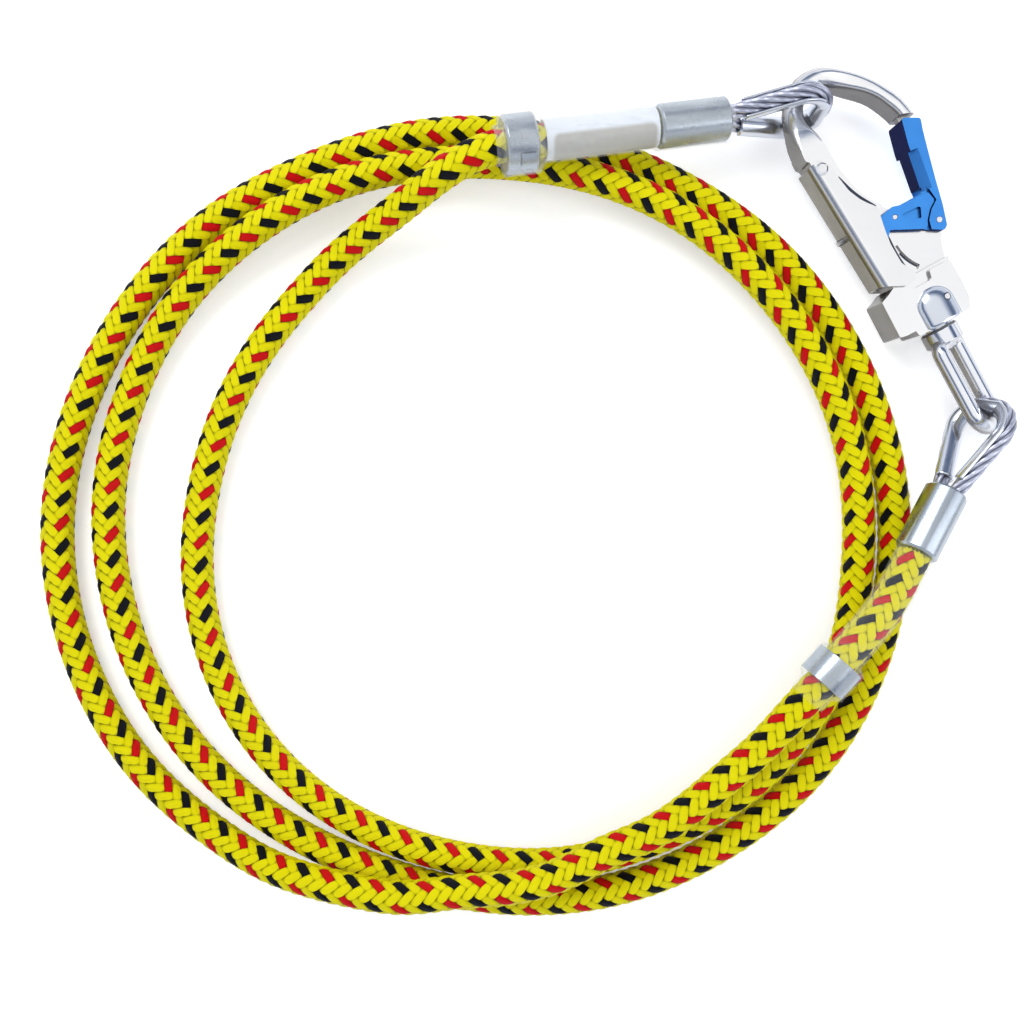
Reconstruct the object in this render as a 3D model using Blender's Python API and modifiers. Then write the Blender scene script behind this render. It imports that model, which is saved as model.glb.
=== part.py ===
"""Tree climbing lanyard: a braided rope over a wire core, coiled on the floor, with a wire
eye at each end and a snap hook whose bow and swivel close the loop.

Metres, +Z up. The floor is z = 0. The coil lies flat and the hook lies at its upper right.
"""
import math

import bmesh
import bpy
import numpy as np
from mathutils import Matrix, Vector

# clearances
GAP = 0.0003
PIN_PLAY = 0.0001
SHEET_GAP = 0.0003
ZERO = Vector((0, 0, 0))

# rope, core and wire
ROPE_RADIUS = 0.0065
CORE_RADIUS = 0.00318
WIRE_RADIUS = CORE_RADIUS
CORE_BORE_RADIUS = CORE_RADIUS + GAP

# turned steps and curve sides
TURN_STEPS = 32
PIN_STEPS = 24
TWELVE_SIDES = 4
EIGHT_SIDES = 2
CORNER_STEP = math.radians(18)

# the hook lies bow up, on a frame whose origin is on the swivel axis
HOOK_SEAT = Vector((0.0407, 0.0039, 0.0116))
HOOK_TURN = math.radians(29.3)
HOOK_TILT = math.radians(2.4)
HOOK_SPAN = 0.100

# the two end fittings: each eye's crown sits on the hook's bow or on the swivel
CROWN_SHARE_A = (-0.093, 0.963)
CROWN_LEVEL_A = 0.0012
HEADING_A = math.radians(9.5)
SLOPE_A = math.radians(-7.5)
ROLL_A = math.radians(76.7)
CROWN_SPOT_B = Vector((-0.0068, -0.0531, 0.0056))
HEADING_B = math.radians(60)
SLOPE_B = math.radians(-7.5)
ROLL_B = math.radians(-55)

# wire eyes and thimbles
EYE_REACH = 0.030
EYE_BEND_SHARE_A = 0.117
EYE_BEND_A = EYE_BEND_SHARE_A * HOOK_SPAN
EYE_BEND_B = 0.0115
EYE_ROOT = 0.0036
EYE_ARC_POINTS = 22
LEG_IN_SLEEVE = 0.0115
THIMBLE_INNER = WIRE_RADIUS + GAP
THIMBLE_OUTER_A = 0.0046
THIMBLE_OUTER_B = 0.0044
THIMBLE_WRAP = math.radians(200)
THIMBLE_WRAP_STEPS = 8
THIMBLE_THROAT_GAP = 0.0006

# swage sleeves
SLEEVE_LENGTH = 0.029
SLEEVE_RADIUS = 0.0087
SLEEVE_CHAMFER = 0.0009
SLEEVE_BORE_DEPTH = 0.012
SLEEVE_STEPS = 32
STADIUM_WIDTH = 2 * (EYE_ROOT + WIRE_RADIUS + GAP)
STADIUM_HEIGHT = 2 * (WIRE_RADIUS + GAP)

# crimp bands, label and clear sleeves: distances back from the sleeve's face
CLEAR_WALL = 0.0005
ROPE_COAT_RADIUS = ROPE_RADIUS + GAP
LABEL_START = 0.0300
LABEL_END = 0.0755
LABEL_RADIUS = 0.0078
BAND_RADIUS = 0.0113
BAND_START_A = 0.0791
BAND_END_A = 0.0917
BAND_CHAMFER = 0.0008
CLEAR_START_A = -0.0006
CLEAR_END_A = 0.0955
LIP_RADIUS = 0.0078
BAND_RADIUS_B = 0.0100
BAND_LENGTH_B = 0.0114
CLEAR_RADIUS_B = 0.0078
BAND_BACK_B = 0.0590
LIP_LENGTH_B = 0.0060

# rope stations: straight stretches at the ends and even steps between them
STRAIGHT_A = (0.0, 0.032, 0.0615, 0.069)
RUN_START = 0.082
RUN_END = 0.086
RUN_COUNT = 86
END_COUNT = 10
ROUTE_SAMPLES = 6000
NEIGHBOUR_SKIP = 5

# points on the straight ends: distances back from each sleeve's face
ROPE_START = SLEEVE_LENGTH + GAP
AXIS_A = (ROPE_START, 0.044, 0.059, 0.074, 0.084, 0.091)
AXIS_B = (0.048, 0.038, ROPE_START)

# the coil's centre line, laid by hand from the first fitting to the second
ROUTE = [
    (-0.1580, 0.0530, 0.0290), (-0.1725, 0.0445, 0.0210), (-0.2030, 0.0245, 0.0080),
    (-0.2165, 0.0110, 0.0065), (-0.2290, -0.0040, 0.0065), (-0.2485, -0.0375, 0.0065),
    (-0.2585, -0.0715, 0.0065), (-0.2610, -0.1050, 0.0065), (-0.2555, -0.1365, 0.0065),
    (-0.2400, -0.1690, 0.0065), (-0.2145, -0.1965, 0.0065), (-0.1800, -0.2160, 0.0065),
    (-0.1425, -0.2255, 0.0065), (-0.1015, -0.2250, 0.0070), (-0.0675, -0.2135, 0.0095),
    (-0.0475, -0.2025, 0.0115), (-0.0265, -0.1860, 0.0130), (-0.0120, -0.1690, 0.0130),
    (0.0050, -0.1415, 0.0115), (0.0130, -0.1100, 0.0075), (0.0135, -0.0765, 0.0085),
    (0.0065, -0.0425, 0.0110), (-0.0095, -0.0095, 0.0125), (-0.0330, 0.0195, 0.0135),
    (-0.0615, 0.0420, 0.0135), (-0.0950, 0.0565, 0.0135), (-0.1300, 0.0635, 0.0110),
    (-0.1680, 0.0625, 0.0125), (-0.2040, 0.0535, 0.0130), (-0.2385, 0.0345, 0.0115),
    (-0.2685, 0.0060, 0.0080), (-0.2885, -0.0310, 0.0065), (-0.2975, -0.0695, 0.0065),
    (-0.2960, -0.1070, 0.0065), (-0.2845, -0.1445, 0.0065), (-0.2630, -0.1785, 0.0065),
    (-0.2340, -0.2050, 0.0065), (-0.1995, -0.2240, 0.0065), (-0.1615, -0.2365, 0.0065),
    (-0.1200, -0.2410, 0.0065), (-0.0795, -0.2350, 0.0065), (-0.0420, -0.2180, 0.0065),
    (-0.0105, -0.1930, 0.0065), (0.0140, -0.1575, 0.0065), (0.0265, -0.1190, 0.0065),
    (0.0290, -0.0805, 0.0065), (0.0220, -0.0420, 0.0065), (0.0055, -0.0055, 0.0065),
    (-0.0210, 0.0280, 0.0065), (-0.0545, 0.0525, 0.0065), (-0.0915, 0.0690, 0.0065),
    (-0.1320, 0.0775, 0.0065), (-0.1745, 0.0755, 0.0065), (-0.2140, 0.0630, 0.0065),
    (-0.2520, 0.0425, 0.0065), (-0.2835, 0.0115, 0.0065), (-0.3060, -0.0270, 0.0065),
    (-0.3180, -0.0695, 0.0065), (-0.3175, -0.1120, 0.0065), (-0.3055, -0.1520, 0.0065),
    (-0.2830, -0.1875, 0.0065), (-0.2515, -0.2145, 0.0075), (-0.2325, -0.2245, 0.0110),
    (-0.2125, -0.2295, 0.0170), (-0.1925, -0.2330, 0.0200), (-0.1720, -0.2350, 0.0210),
    (-0.1535, -0.2330, 0.0210), (-0.1300, -0.2310, 0.0210), (-0.1105, -0.2260, 0.0205),
    (-0.0930, -0.2175, 0.0205), (-0.0750, -0.2095, 0.0215), (-0.0585, -0.1985, 0.0225),
    (-0.0440, -0.1860, 0.0235), (-0.0300, -0.1730, 0.0250), (-0.0175, -0.1585, 0.0270),
    (-0.0040, -0.1430, 0.0285), (0.0095, -0.1280, 0.0280),
]

# hook levels above and below its middle plane
PLATE_HALF = 0.0070
LEVER_WALL = 0.0015
TRIGGER_WALL = 0.0013
ARM_WALL = 0.0009
TONGUE_HALF = 0.0019
LEVER_INNER = PLATE_HALF + SHEET_GAP
BLOCK_HALF = LEVER_INNER + LEVER_WALL
TRIGGER_TOP = PLATE_HALF
TRIGGER_LOW = TRIGGER_TOP - TRIGGER_WALL
GATE_ARM_TOP = TRIGGER_LOW - GAP
GATE_SLOT_HALF = GATE_ARM_TOP - ARM_WALL
STEP_HALF = GATE_SLOT_HALF - GAP
NOSE_SLOT_HALF = TONGUE_HALF + GAP
CUT_OVER = 0.0030
GROOVE_DEPTH = 0.0012
PLATE_BEVEL = 0.0008
BLOCK_BEVEL = 0.0009
LEVER_FOLD = 0.0036
LEVER_FOLD_REACH = 0.0400
BOW_RINGS = 26
RELIEF_WIDTH = 0.0042
RELIEF_DEPTH = 0.0034
RELIEF_TURN = math.radians(-8)
PIVOT_RADIUS = 0.0012
TRIGGER_PIN_RADIUS = 0.0010
RIVET_RADIUS = 0.0015
RIVET_HEAD_RADIUS = 0.0025
RIVET_HEAD_HEIGHT = 0.0008
PIN_CHAMFER = 0.0002

# outlines of the hook in shares of its span: x, y and the corner's radius
PLATE_SHARES = [
    (-0.115, 0.050, 0), (0.125, 0.050, 0), (0.132, 0.100, 0.03), (0.150, 0.176, 0.04),
    (0.166, 0.226, 0.03), (0.193, 0.262, 0.015), (0.206, 0.300, 0.015), (0.190, 0.335, 0.015),
    (0.100, 0.362, 0.04), (0.063, 0.396, 0.03), (0.034, 0.429, 0.02), (0, 0.465, 0.04),
    (-0.032, 0.510, 0.06), (-0.060, 0.585, 0.08), (-0.076, 0.667, 0.08), (-0.081, 0.760, 0.04),
    (-0.081, 0.800, 0.01), (-0.180, 0.800, 0.01), (-0.182, 0.758, 0.015), (-0.170, 0.745, 0),
    (-0.168, 0.700, 0), (-0.112, 0.170, 0.02),
]
BLOCK_SHARES = [
    (-0.118, -0.080, 0.012), (0.113, -0.080, 0.012), (0.135, -0.040, 0.01), (0.138, 0.040, 0.02),
    (0.134, 0.133, 0.015), (0.042, 0.136, 0.01), (0.034, 0.098, 0.01), (-0.040, 0.099, 0.01),
    (-0.120, 0.142, 0.008), (-0.152, 0.126, 0.005), (-0.188, 0.113, 0.01), (-0.190, -0.046, 0.01),
    (-0.165, -0.052, 0.005), (-0.121, -0.054, 0),
]
BOW_STATIONS = [
    (-0.081, 0.771, -0.181, 0.779, 0.069, 0.006), (-0.081, 0.835, -0.179, 0.845, 0.067, 0.018),
    (-0.082, 0.885, -0.174, 0.900, 0.053, 0.040), (-0.076, 0.928, -0.159, 0.955, 0.043, 0.045),
    (-0.042, 0.978, -0.098, 1.042, 0.043, 0.043), (-0.001, 0.996, -0.019, 1.080, 0.043, 0.043),
    (0.038, 0.992, 0.062, 1.074, 0.044, 0.040), (0.088, 0.952, 0.114, 1.030, 0.058, 0.028),
    (0.140, 0.907, 0.170, 0.974, 0.069, 0.026), (0.190, 0.855, 0.228, 0.903, 0.070, 0.026),
    (0.218, 0.805, 0.266, 0.840, 0.070, 0.026), (0.235, 0.765, 0.290, 0.785, 0.070, 0.026),
    (0.244, 0.739, 0.302, 0.714, 0.070, 0.026),
]
TONGUE_SHARES = [
    (0.249, 0.760, 0), (0.249, 0.668, 0.01), (0.292, 0.668, 0.01), (0.297, 0.720, 0.01),
    (0.285, 0.770, 0),
]
STEP_SHARES = [
    (-0.073, 0.148, 0), (0.260, 0.148, 0), (0.260, 0.480, 0), (0.080, 0.480, 0),
    (-0.010, 0.448, 0), (-0.073, 0.436, 0),
]
GATE_SHARES = [
    (0.309, 0.686, 0.012), (0.240, 0.724, 0.012), (0.214, 0.615, 0.05), (0.186, 0.440, 0.03),
    (0.174, 0.420, 0.01), (0.040, 0.422, 0.025), (-0.012, 0.406, 0.022), (-0.002, 0.364, 0.022),
    (0.133, 0.276, 0.005), (0.182, 0.245, 0.015), (0.200, 0.258, 0.015), (0.223, 0.337, 0.05),
    (0.245, 0.439, 0.12), (0.274, 0.560, 0.12), (0.294, 0.640, 0.05),
]
GATE_SLOT_SHARES = [
    (-0.080, 0.200, 0), (0.300, 0.200, 0), (0.300, 0.380, 0), (0.259, 0.424, 0),
    (0.222, 0.439, 0), (0.183, 0.444, 0), (-0.080, 0.460, 0),
]
GATE_THIN_SHARES = [
    (0.132, 0.220, 0), (0.132, 0.250, 0), (0.145, 0.310, 0), (0.174, 0.344, 0),
    (0.210, 0.368, 0), (0.203, 0.431, 0), (-0.080, 0.436, 0), (-0.080, 0.220, 0),
]
NOSE_SLOT_SHARES = [
    (0.243, 0.760, 0), (0.243, 0.649, 0), (0.330, 0.649, 0), (0.330, 0.760, 0),
]
TRIGGER_SHARES = [
    (0.124, 0.282, 0.015), (0.139, 0.314, 0.02), (0.170, 0.350, 0.02), (0.203, 0.371, 0.012),
    (0.194, 0.412, 0.012), (0.120, 0.416, 0.05), (0.080, 0.417, 0.04), (0.039, 0.430, 0.025),
    (-0.024, 0.418, 0.02), (-0.050, 0.378, 0.015), (-0.060, 0.345, 0.015),
    (-0.054, 0.318, 0.010), (-0.038, 0.322, 0.010), (-0.014, 0.353, 0.01),
]
POCKET_SHARES = [
    (0.056, 0.366, 0.006), (0.121, 0.332, 0.006), (0.142, 0.378, 0.008), (0.060, 0.384, 0.008),
]
RELIEF_SHARES = (0.425, 0.593)
RELIEF_EDGE_SHARE = 0.176
LEVER_SHARES = [
    (-0.192, 0.726, 0.012), (-0.159, 0.170, 0.008), (-0.147, 0.164, 0), (-0.036, 0.108, 0.008),
    (-0.010, 0.153, 0.01), (-0.043, 0.215, 0.03), (-0.046, 0.300, 0.04), (-0.039, 0.360, 0.03),
    (-0.023, 0.452, 0.015), (-0.062, 0.503, 0.04), (-0.092, 0.570, 0.04), (-0.104, 0.638, 0.03),
    (-0.112, 0.700, 0.02), (-0.140, 0.736, 0.015),
]
LEVER_FOLD_SHARES = ((-0.1915, 0.760), (-0.1570, 0.150))
LEVER_HOLLOW_SHARES = [
    (-0.178, 0.780, 0), (-0.178, 0.700, 0), (-0.145, 0.150, 0), (-0.145, 0.050, 0),
    (0.050, 0.050, 0), (0.050, 0.780, 0),
]
GATE_PIVOT_SHARE = (0.183, 0.292)
TRIGGER_PIN_SHARE = (0.030, 0.388)
RIVET_SHARE = (-0.146, 0.698)
STOP_PIN_SHARE = (-0.200, 0.407)
GROOVE_SHARES = (0.229, 0.243)
GROOVE_TURN = (math.radians(188), math.radians(214))
CRESCENT_SHARES = (0.186, 0.208)
CRESCENT_TURN = (math.radians(182), math.radians(220))
ARC_POINTS = 9

# swivel: heights along its axis from the hook's seat
END_FACE_SHARE = -0.080
END_FACE = END_FACE_SHARE * HOOK_SPAN
WASHER_THICK = 0.0008
WASHER_RADIUS = 0.0066
COLLAR_RADIUS = 0.0076
COLLAR_END = -0.0165
COLLAR_CHAMFER = 0.0008
SHANK_RADIUS = 0.0030
SHANK_TOP = 0.0015
SHANK_BORE_TOP = 0.0019
SWIVEL_LEG = 0.0092
SWIVEL_WIRE = 0.0033
SWIVEL_TOP = -0.0165
SWIVEL_BOTTOM = -0.0552
SWIVEL_CORNER = 0.0036
SWIVEL_ROLL = math.radians(43)
CAP_RADIUS = 0.0072
CAP_HEIGHT = 0.0022
CAP_RISE_SHARES = [(0, 1), (0.35, 0.95), (0.62, 0.80), (0.82, 0.58), (0.95, 0.32), (1, 0)]
CAP_SPIGOT_RADIUS = 0.0030
CAP_SPIGOT_LENGTH = 0.0026
STOP_PIN_RADIUS = 0.0013
STOP_PIN_LENGTH = 0.0036

# colours
ROPE_YELLOW = (0.80, 0.72, 0.02)
STEEL_GREY = (0.55, 0.56, 0.60)
ZINC = (0.62, 0.65, 0.72)
SATIN = (0.78, 0.79, 0.80)
POLISHED = (0.90, 0.90, 0.91)
GATE_BLUE = (0.03, 0.10, 0.62)
CLEAR_TINT = (0.85, 0.86, 0.80)
LABEL_WHITE = (0.86, 0.86, 0.84)

FULL_TURN = math.radians(360)
QUARTER_TURN = math.radians(90)


def clear_scene():
    """Remove whatever the file starts with."""
    for item in list(bpy.data.objects):
        bpy.data.objects.remove(item)


def new_collection(name):
    """A collection linked to the scene."""
    box = bpy.data.collections.new(name)
    bpy.context.scene.collection.children.link(box)
    return box


def new_material(name, colour, metallic, roughness):
    """A Principled BSDF material."""
    material = bpy.data.materials.new(name)
    material.use_nodes = True
    shader = material.node_tree.nodes["Principled BSDF"]
    shader.inputs["Base Color"].default_value = (*colour, 1)
    shader.inputs["Metallic"].default_value = metallic
    shader.inputs["Roughness"].default_value = roughness
    return material


def rounded(corners, scale=1.0):
    """A closed outline: each corner (x, y, radius) becomes an arc of short steps."""
    points = []
    count = len(corners)
    for index, corner in enumerate(corners):
        here = np.array(corner[:2], float) * scale
        radius = corner[2] * scale
        before = np.array(corners[index - 1][:2], float) * scale
        after = np.array(corners[(index + 1) % count][:2], float) * scale
        if radius == 0:
            points.append(here)
            continue
        back = (before - here) / np.linalg.norm(before - here)
        ahead = (after - here) / np.linalg.norm(after - here)
        half = math.acos(max(-1.0, min(1.0, float(back @ ahead)))) / 2
        reach = min(np.linalg.norm(before - here), np.linalg.norm(after - here)) / 2
        length = min(radius / math.tan(half), reach)
        radius = length * math.tan(half)
        middle = (back + ahead) / np.linalg.norm(back + ahead)
        centre = here + middle * radius / math.sin(half)
        start = here + back * length - centre
        end = here + ahead * length - centre
        sweep = math.pi - 2 * half
        steps = max(1, math.ceil(sweep / CORNER_STEP))
        for step in range(steps + 1):
            share = step / steps
            mix = start * math.sin((1 - share) * sweep) + end * math.sin(share * sweep)
            points.append(centre + mix / math.sin(sweep))
    return [tuple(point) for point in points]


def arc_band(centre, inner, outer, turn):
    """A closed outline between two arcs about one centre."""
    angles = np.linspace(turn[0], turn[1], ARC_POINTS)
    ring = np.stack([np.cos(angles), np.sin(angles)], 1)
    loop = np.vstack([ring * outer, ring[::-1] * inner]) + np.array(centre)
    return [tuple(point) for point in loop]


def add_object(name, mesh, frame, box):
    """An object of one mesh, placed by a frame."""
    item = bpy.data.objects.new(name, mesh)
    item.matrix_world = frame
    box.objects.link(item)
    return item


def curve_to_mesh(name, curve, frame, box):
    """Turn a curve into a welded mesh object."""
    item = bpy.data.objects.new(name, curve)
    box.objects.link(item)
    bpy.context.view_layer.update()
    graph = bpy.context.evaluated_depsgraph_get()
    mesh = bpy.data.meshes.new_from_object(item.evaluated_get(graph), depsgraph=graph)
    bpy.data.objects.remove(item)
    bpy.data.curves.remove(curve)
    data = bmesh.new()
    data.from_mesh(mesh)
    bmesh.ops.remove_doubles(data, verts=data.verts, dist=0.00001)
    bmesh.ops.recalc_face_normals(data, faces=data.faces)
    data.to_mesh(mesh)
    data.free()
    mesh.name = name
    return add_object(name, mesh, frame, box)


def plate(name, loops, low, high, frame, box):
    """A flat outline, with any holes, filled and raised between two levels."""
    curve = bpy.data.curves.new(name, "CURVE")
    curve.dimensions = "2D"
    curve.fill_mode = "BOTH"
    curve.extrude = (high - low) / 2
    for loop in loops:
        spline = curve.splines.new("POLY")
        spline.points.add(len(loop) - 1)
        spline.use_cyclic_u = True
        for point, (x, y) in zip(spline.points, loop):
            point.co = (x, y, 0, 1)
    lift = Matrix.Translation((0, 0, (high + low) / 2))
    return curve_to_mesh(name, curve, frame @ lift, box)


def tube(name, points, radius, sides, frame, box, closed=False, radii=None):
    """A round tube along points, with filled ends."""
    curve = bpy.data.curves.new(name, "CURVE")
    curve.dimensions = "3D"
    curve.twist_mode = "Z_UP"
    curve.bevel_depth = radius
    curve.bevel_resolution = sides
    curve.use_fill_caps = True
    spline = curve.splines.new("POLY")
    spline.points.add(len(points) - 1)
    spline.use_cyclic_u = closed
    for index, point in enumerate(spline.points):
        point.co = (*points[index], 1)
        if radii is not None:
            point.radius = radii[index]
    return curve_to_mesh(name, curve, frame, box)


def profiled(name, points, profile, frame, box):
    """A closed profile swept along points, with filled ends."""
    section = bpy.data.curves.new(name + "_section", "CURVE")
    section.dimensions = "2D"
    spline = section.splines.new("POLY")
    spline.points.add(len(profile) - 1)
    spline.use_cyclic_u = True
    for point, (x, y) in zip(spline.points, profile):
        point.co = (x, y, 0, 1)
    shape = bpy.data.objects.new(name + "_section", section)
    box.objects.link(shape)
    curve = bpy.data.curves.new(name, "CURVE")
    curve.dimensions = "3D"
    curve.twist_mode = "Z_UP"
    curve.bevel_mode = "OBJECT"
    curve.bevel_object = shape
    curve.use_fill_caps = True
    spline = curve.splines.new("POLY")
    spline.points.add(len(points) - 1)
    for index, point in enumerate(spline.points):
        point.co = (*points[index], 1)
    item = curve_to_mesh(name, curve, frame, box)
    bpy.data.objects.remove(shape)
    return item


def turned(name, profile, steps, frame, box, ring=False):
    """A profile of (radius, height) turned about the frame's Z."""
    mesh = bpy.data.meshes.new(name)
    edges = [(index, index + 1) for index in range(len(profile) - 1)]
    if ring:
        edges.append((len(profile) - 1, 0))
    mesh.from_pydata([(radius, 0, height) for radius, height in profile], edges, [])
    item = add_object(name, mesh, frame, box)
    screw = item.modifiers.new("turn", "SCREW")
    screw.axis = "Z"
    screw.angle = FULL_TURN
    screw.steps = steps
    screw.render_steps = steps
    screw.use_merge_vertices = True
    screw.merge_threshold = 0.00001
    screw.use_normal_calculate = False
    return item


def cut(item, tool, box, kind="DIFFERENCE"):
    """Boolean one object by another and put the tool away."""
    step = item.modifiers.new(tool.name, "BOOLEAN")
    step.operation = kind
    step.solver = "EXACT"
    step.object = tool
    for home in list(tool.users_collection):
        home.objects.unlink(tool)
    box.objects.link(tool)
    tool.hide_render = True
    tool.display_type = "WIRE"


def bevel(item, width, segments=2):
    """Bevel the sharp edges of an object."""
    step = item.modifiers.new("edges", "BEVEL")
    step.width = width
    step.segments = segments
    step.limit_method = "ANGLE"
    step.angle_limit = math.radians(50)
    step.use_clamp_overlap = True


def finish(item, material, smooth):
    """Give an object its material and its shading."""
    item.data.materials.clear()
    item.data.materials.append(material)
    for face in item.data.polygons:
        face.use_smooth = smooth
    for step in item.modifiers:
        if step.type == "SCREW":
            step.use_smooth_shade = smooth


def move_origin(item, point):
    """Put an object's origin at a world point and leave its shape where it is."""
    local = item.matrix_world.inverted() @ point
    item.data.transform(Matrix.Translation(-local))
    item.matrix_world = item.matrix_world @ Matrix.Translation(local)


def fitting_frame(crown, heading, slope, roll):
    """X along the fitting towards its eye, Y across the eye, Z square to the eye.

    The origin is the sleeve's face, an eye's reach behind the centre of the eye's crown.
    """
    along = Vector((math.cos(heading) * math.cos(slope), math.sin(heading) * math.cos(slope),
                    math.sin(slope)))
    left = Vector((-math.sin(heading), math.cos(heading), 0))
    across = math.cos(roll) * left + math.sin(roll) * along.cross(left)
    square = along.cross(across)
    rotation = Matrix((along, across, square)).transposed().to_4x4()
    return Matrix.Translation(crown - along * EYE_REACH) @ rotation


def fitting_frames():
    """The frames of both fittings, hung on the hook's bow and on the swivel."""
    hook = hook_frame()
    first = hook @ spot(CROWN_SHARE_A, CROWN_LEVEL_A)
    frame_a = fitting_frame(first, HEADING_A, SLOPE_A, ROLL_A)
    frame_b = fitting_frame(hook @ CROWN_SPOT_B, HEADING_B, SLOPE_B, ROLL_B)
    return frame_a, frame_b


def hook_frame():
    """X towards the gate, Y towards the bow, Z off the hook's middle plane."""
    turn = Matrix.Rotation(HOOK_TURN, 4, "Z")
    tilt = Matrix.Rotation(HOOK_TILT, 4, "X")
    return Matrix.Translation(HOOK_SEAT) @ turn @ tilt


def eye_line(bend, start):
    """The eye's centre line in its own plane, from inside the sleeve and back."""
    lean = 0.0
    for _ in range(40):
        lean = math.asin((bend - EYE_ROOT * math.cos(lean)) / EYE_REACH)
    angles = np.linspace(-math.pi / 2 - lean, math.pi / 2 + lean, EYE_ARC_POINTS)
    arc = [(EYE_REACH + bend * math.cos(a), bend * math.sin(a), 0) for a in angles]
    return [(start, -EYE_ROOT, 0), (0, -EYE_ROOT, 0)] + arc + [(0, EYE_ROOT, 0), (start, EYE_ROOT, 0)]


def thimble_line(bend, outer):
    """The eye's line cut short where the trough's two ends would meet."""
    line = np.array(eye_line(bend, 0))[1:-1]
    first, second = line[0], line[1]
    share = (outer + THIMBLE_THROAT_GAP + first[1]) / (first[1] - second[1])
    begin = first + (second - first) * share
    end = begin * np.array([1, -1, 1])
    return [tuple(point) for point in [begin, *line[1:-1], end]]


def trough(outer):
    """The thimble's section: a half pipe that opens away from the eye's middle."""
    angles = np.linspace(-THIMBLE_WRAP / 2, THIMBLE_WRAP / 2, THIMBLE_WRAP_STEPS + 1) + math.pi
    ring = np.stack([np.cos(angles), np.sin(angles)], 1)
    return [tuple(point) for point in np.vstack([ring * outer, ring[::-1] * THIMBLE_INNER])]


def smooth_route(nodes):
    """A natural cubic curve through nodes of any size, read at many even steps."""
    nodes = np.array(nodes, float)
    steps = np.linalg.norm(np.diff(nodes, axis=0), axis=1)
    along = np.concatenate([[0], np.cumsum(steps)])
    count = len(nodes)
    matrix = np.zeros((count, count))
    right = np.zeros(nodes.shape)
    matrix[0, 0] = 1
    matrix[-1, -1] = 1
    for index in range(1, count - 1):
        before, after = steps[index - 1], steps[index]
        matrix[index, index - 1:index + 2] = (before, 2 * (before + after), after)
        rise = (nodes[index + 1] - nodes[index]) / after
        right[index] = 6 * (rise - (nodes[index] - nodes[index - 1]) / before)
    bend = np.linalg.solve(matrix, right)
    reads = np.linspace(0, along[-1], ROUTE_SAMPLES)
    cell = np.clip(np.searchsorted(along, reads) - 1, 0, count - 2)
    ahead = (reads - along[cell])[:, None]
    behind = (along[cell + 1] - reads)[:, None]
    step = steps[cell][:, None]
    cubic = (bend[cell] * behind**3 + bend[cell + 1] * ahead**3) / (6 * step)
    line = (nodes[cell] / step - bend[cell] * step / 6) * behind
    return cubic + line + (nodes[cell + 1] / step - bend[cell + 1] * step / 6) * ahead


def read_route(line, stations):
    """Points of the line at given distances along it; negative ones count from the end."""
    along = np.concatenate([[0], np.cumsum(np.linalg.norm(np.diff(line, axis=0), axis=1))])
    reads = np.where(stations < 0, along[-1] + stations, stations)
    points = np.stack([np.interp(reads, along, line[:, axis]) for axis in range(3)], 1)
    return points, along[-1]


def least_gap(points):
    """The least distance between the tube's runs that don't follow one another."""
    low, run = points[:-1], np.diff(points, axis=0)
    shares = np.linspace(0, 1, 9)
    dense = (low[:, None] + run[:, None] * shares[None, :, None]).reshape(-1, 3)
    owner = np.repeat(np.arange(len(run)), len(shares))
    least = 1.0
    for index in range(len(run)):
        far = dense[owner >= index + NEIGHBOUR_SKIP]
        if len(far) == 0:
            continue
        reach = run[index]
        share = np.clip(((far - low[index]) @ reach) / (reach @ reach), 0, 1)
        least = min(least, np.linalg.norm(far - low[index] - share[:, None] * reach, axis=1).min())
    return least - 2 * ROPE_RADIUS


def build_rope(frame_a, frame_b, box, cutters, paints):
    """The braided cover, its wire core and the route they share."""
    nodes = [frame_a @ Vector((-back, 0, 0)) for back in AXIS_A]
    nodes += [Vector(point) for point in ROUTE]
    nodes += [frame_b @ Vector((-back, 0, 0)) for back in AXIS_B]
    line = smooth_route(nodes)
    length = np.linalg.norm(np.diff(line, axis=0), axis=1).sum()
    middle = np.linspace(RUN_START, length - RUN_END, RUN_COUNT)
    ends = np.linspace(length - RUN_END, length, END_COUNT + 1)[1:]
    points, length = read_route(line, np.concatenate([STRAIGHT_A, middle, ends]))
    print("rope length", round(length, 4), "least gap to itself", round(least_gap(points), 5))
    axis_a = np.array(frame_a.to_3x3().col[0])
    axis_b = np.array(frame_b.to_3x3().col[0])
    inner_a = points[0] + axis_a * (SLEEVE_BORE_DEPTH - 2 * GAP)
    inner_b = points[-1] + axis_b * (SLEEVE_BORE_DEPTH - 2 * GAP)
    core_points = np.vstack([inner_a, points, inner_b])
    here = Matrix.Identity(4)
    cover = tube("rope_cover", points, ROPE_RADIUS, TWELVE_SIDES, here, box)
    bore = tube("rope_bore", core_points, CORE_BORE_RADIUS, EIGHT_SIDES, here, box)
    cut(cover, bore, cutters)
    core = tube("wire_core", core_points, CORE_RADIUS, EIGHT_SIDES, here, box)
    finish(cover, paints["rope"], True)
    finish(core, paints["steel"], True)
    return points


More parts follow.
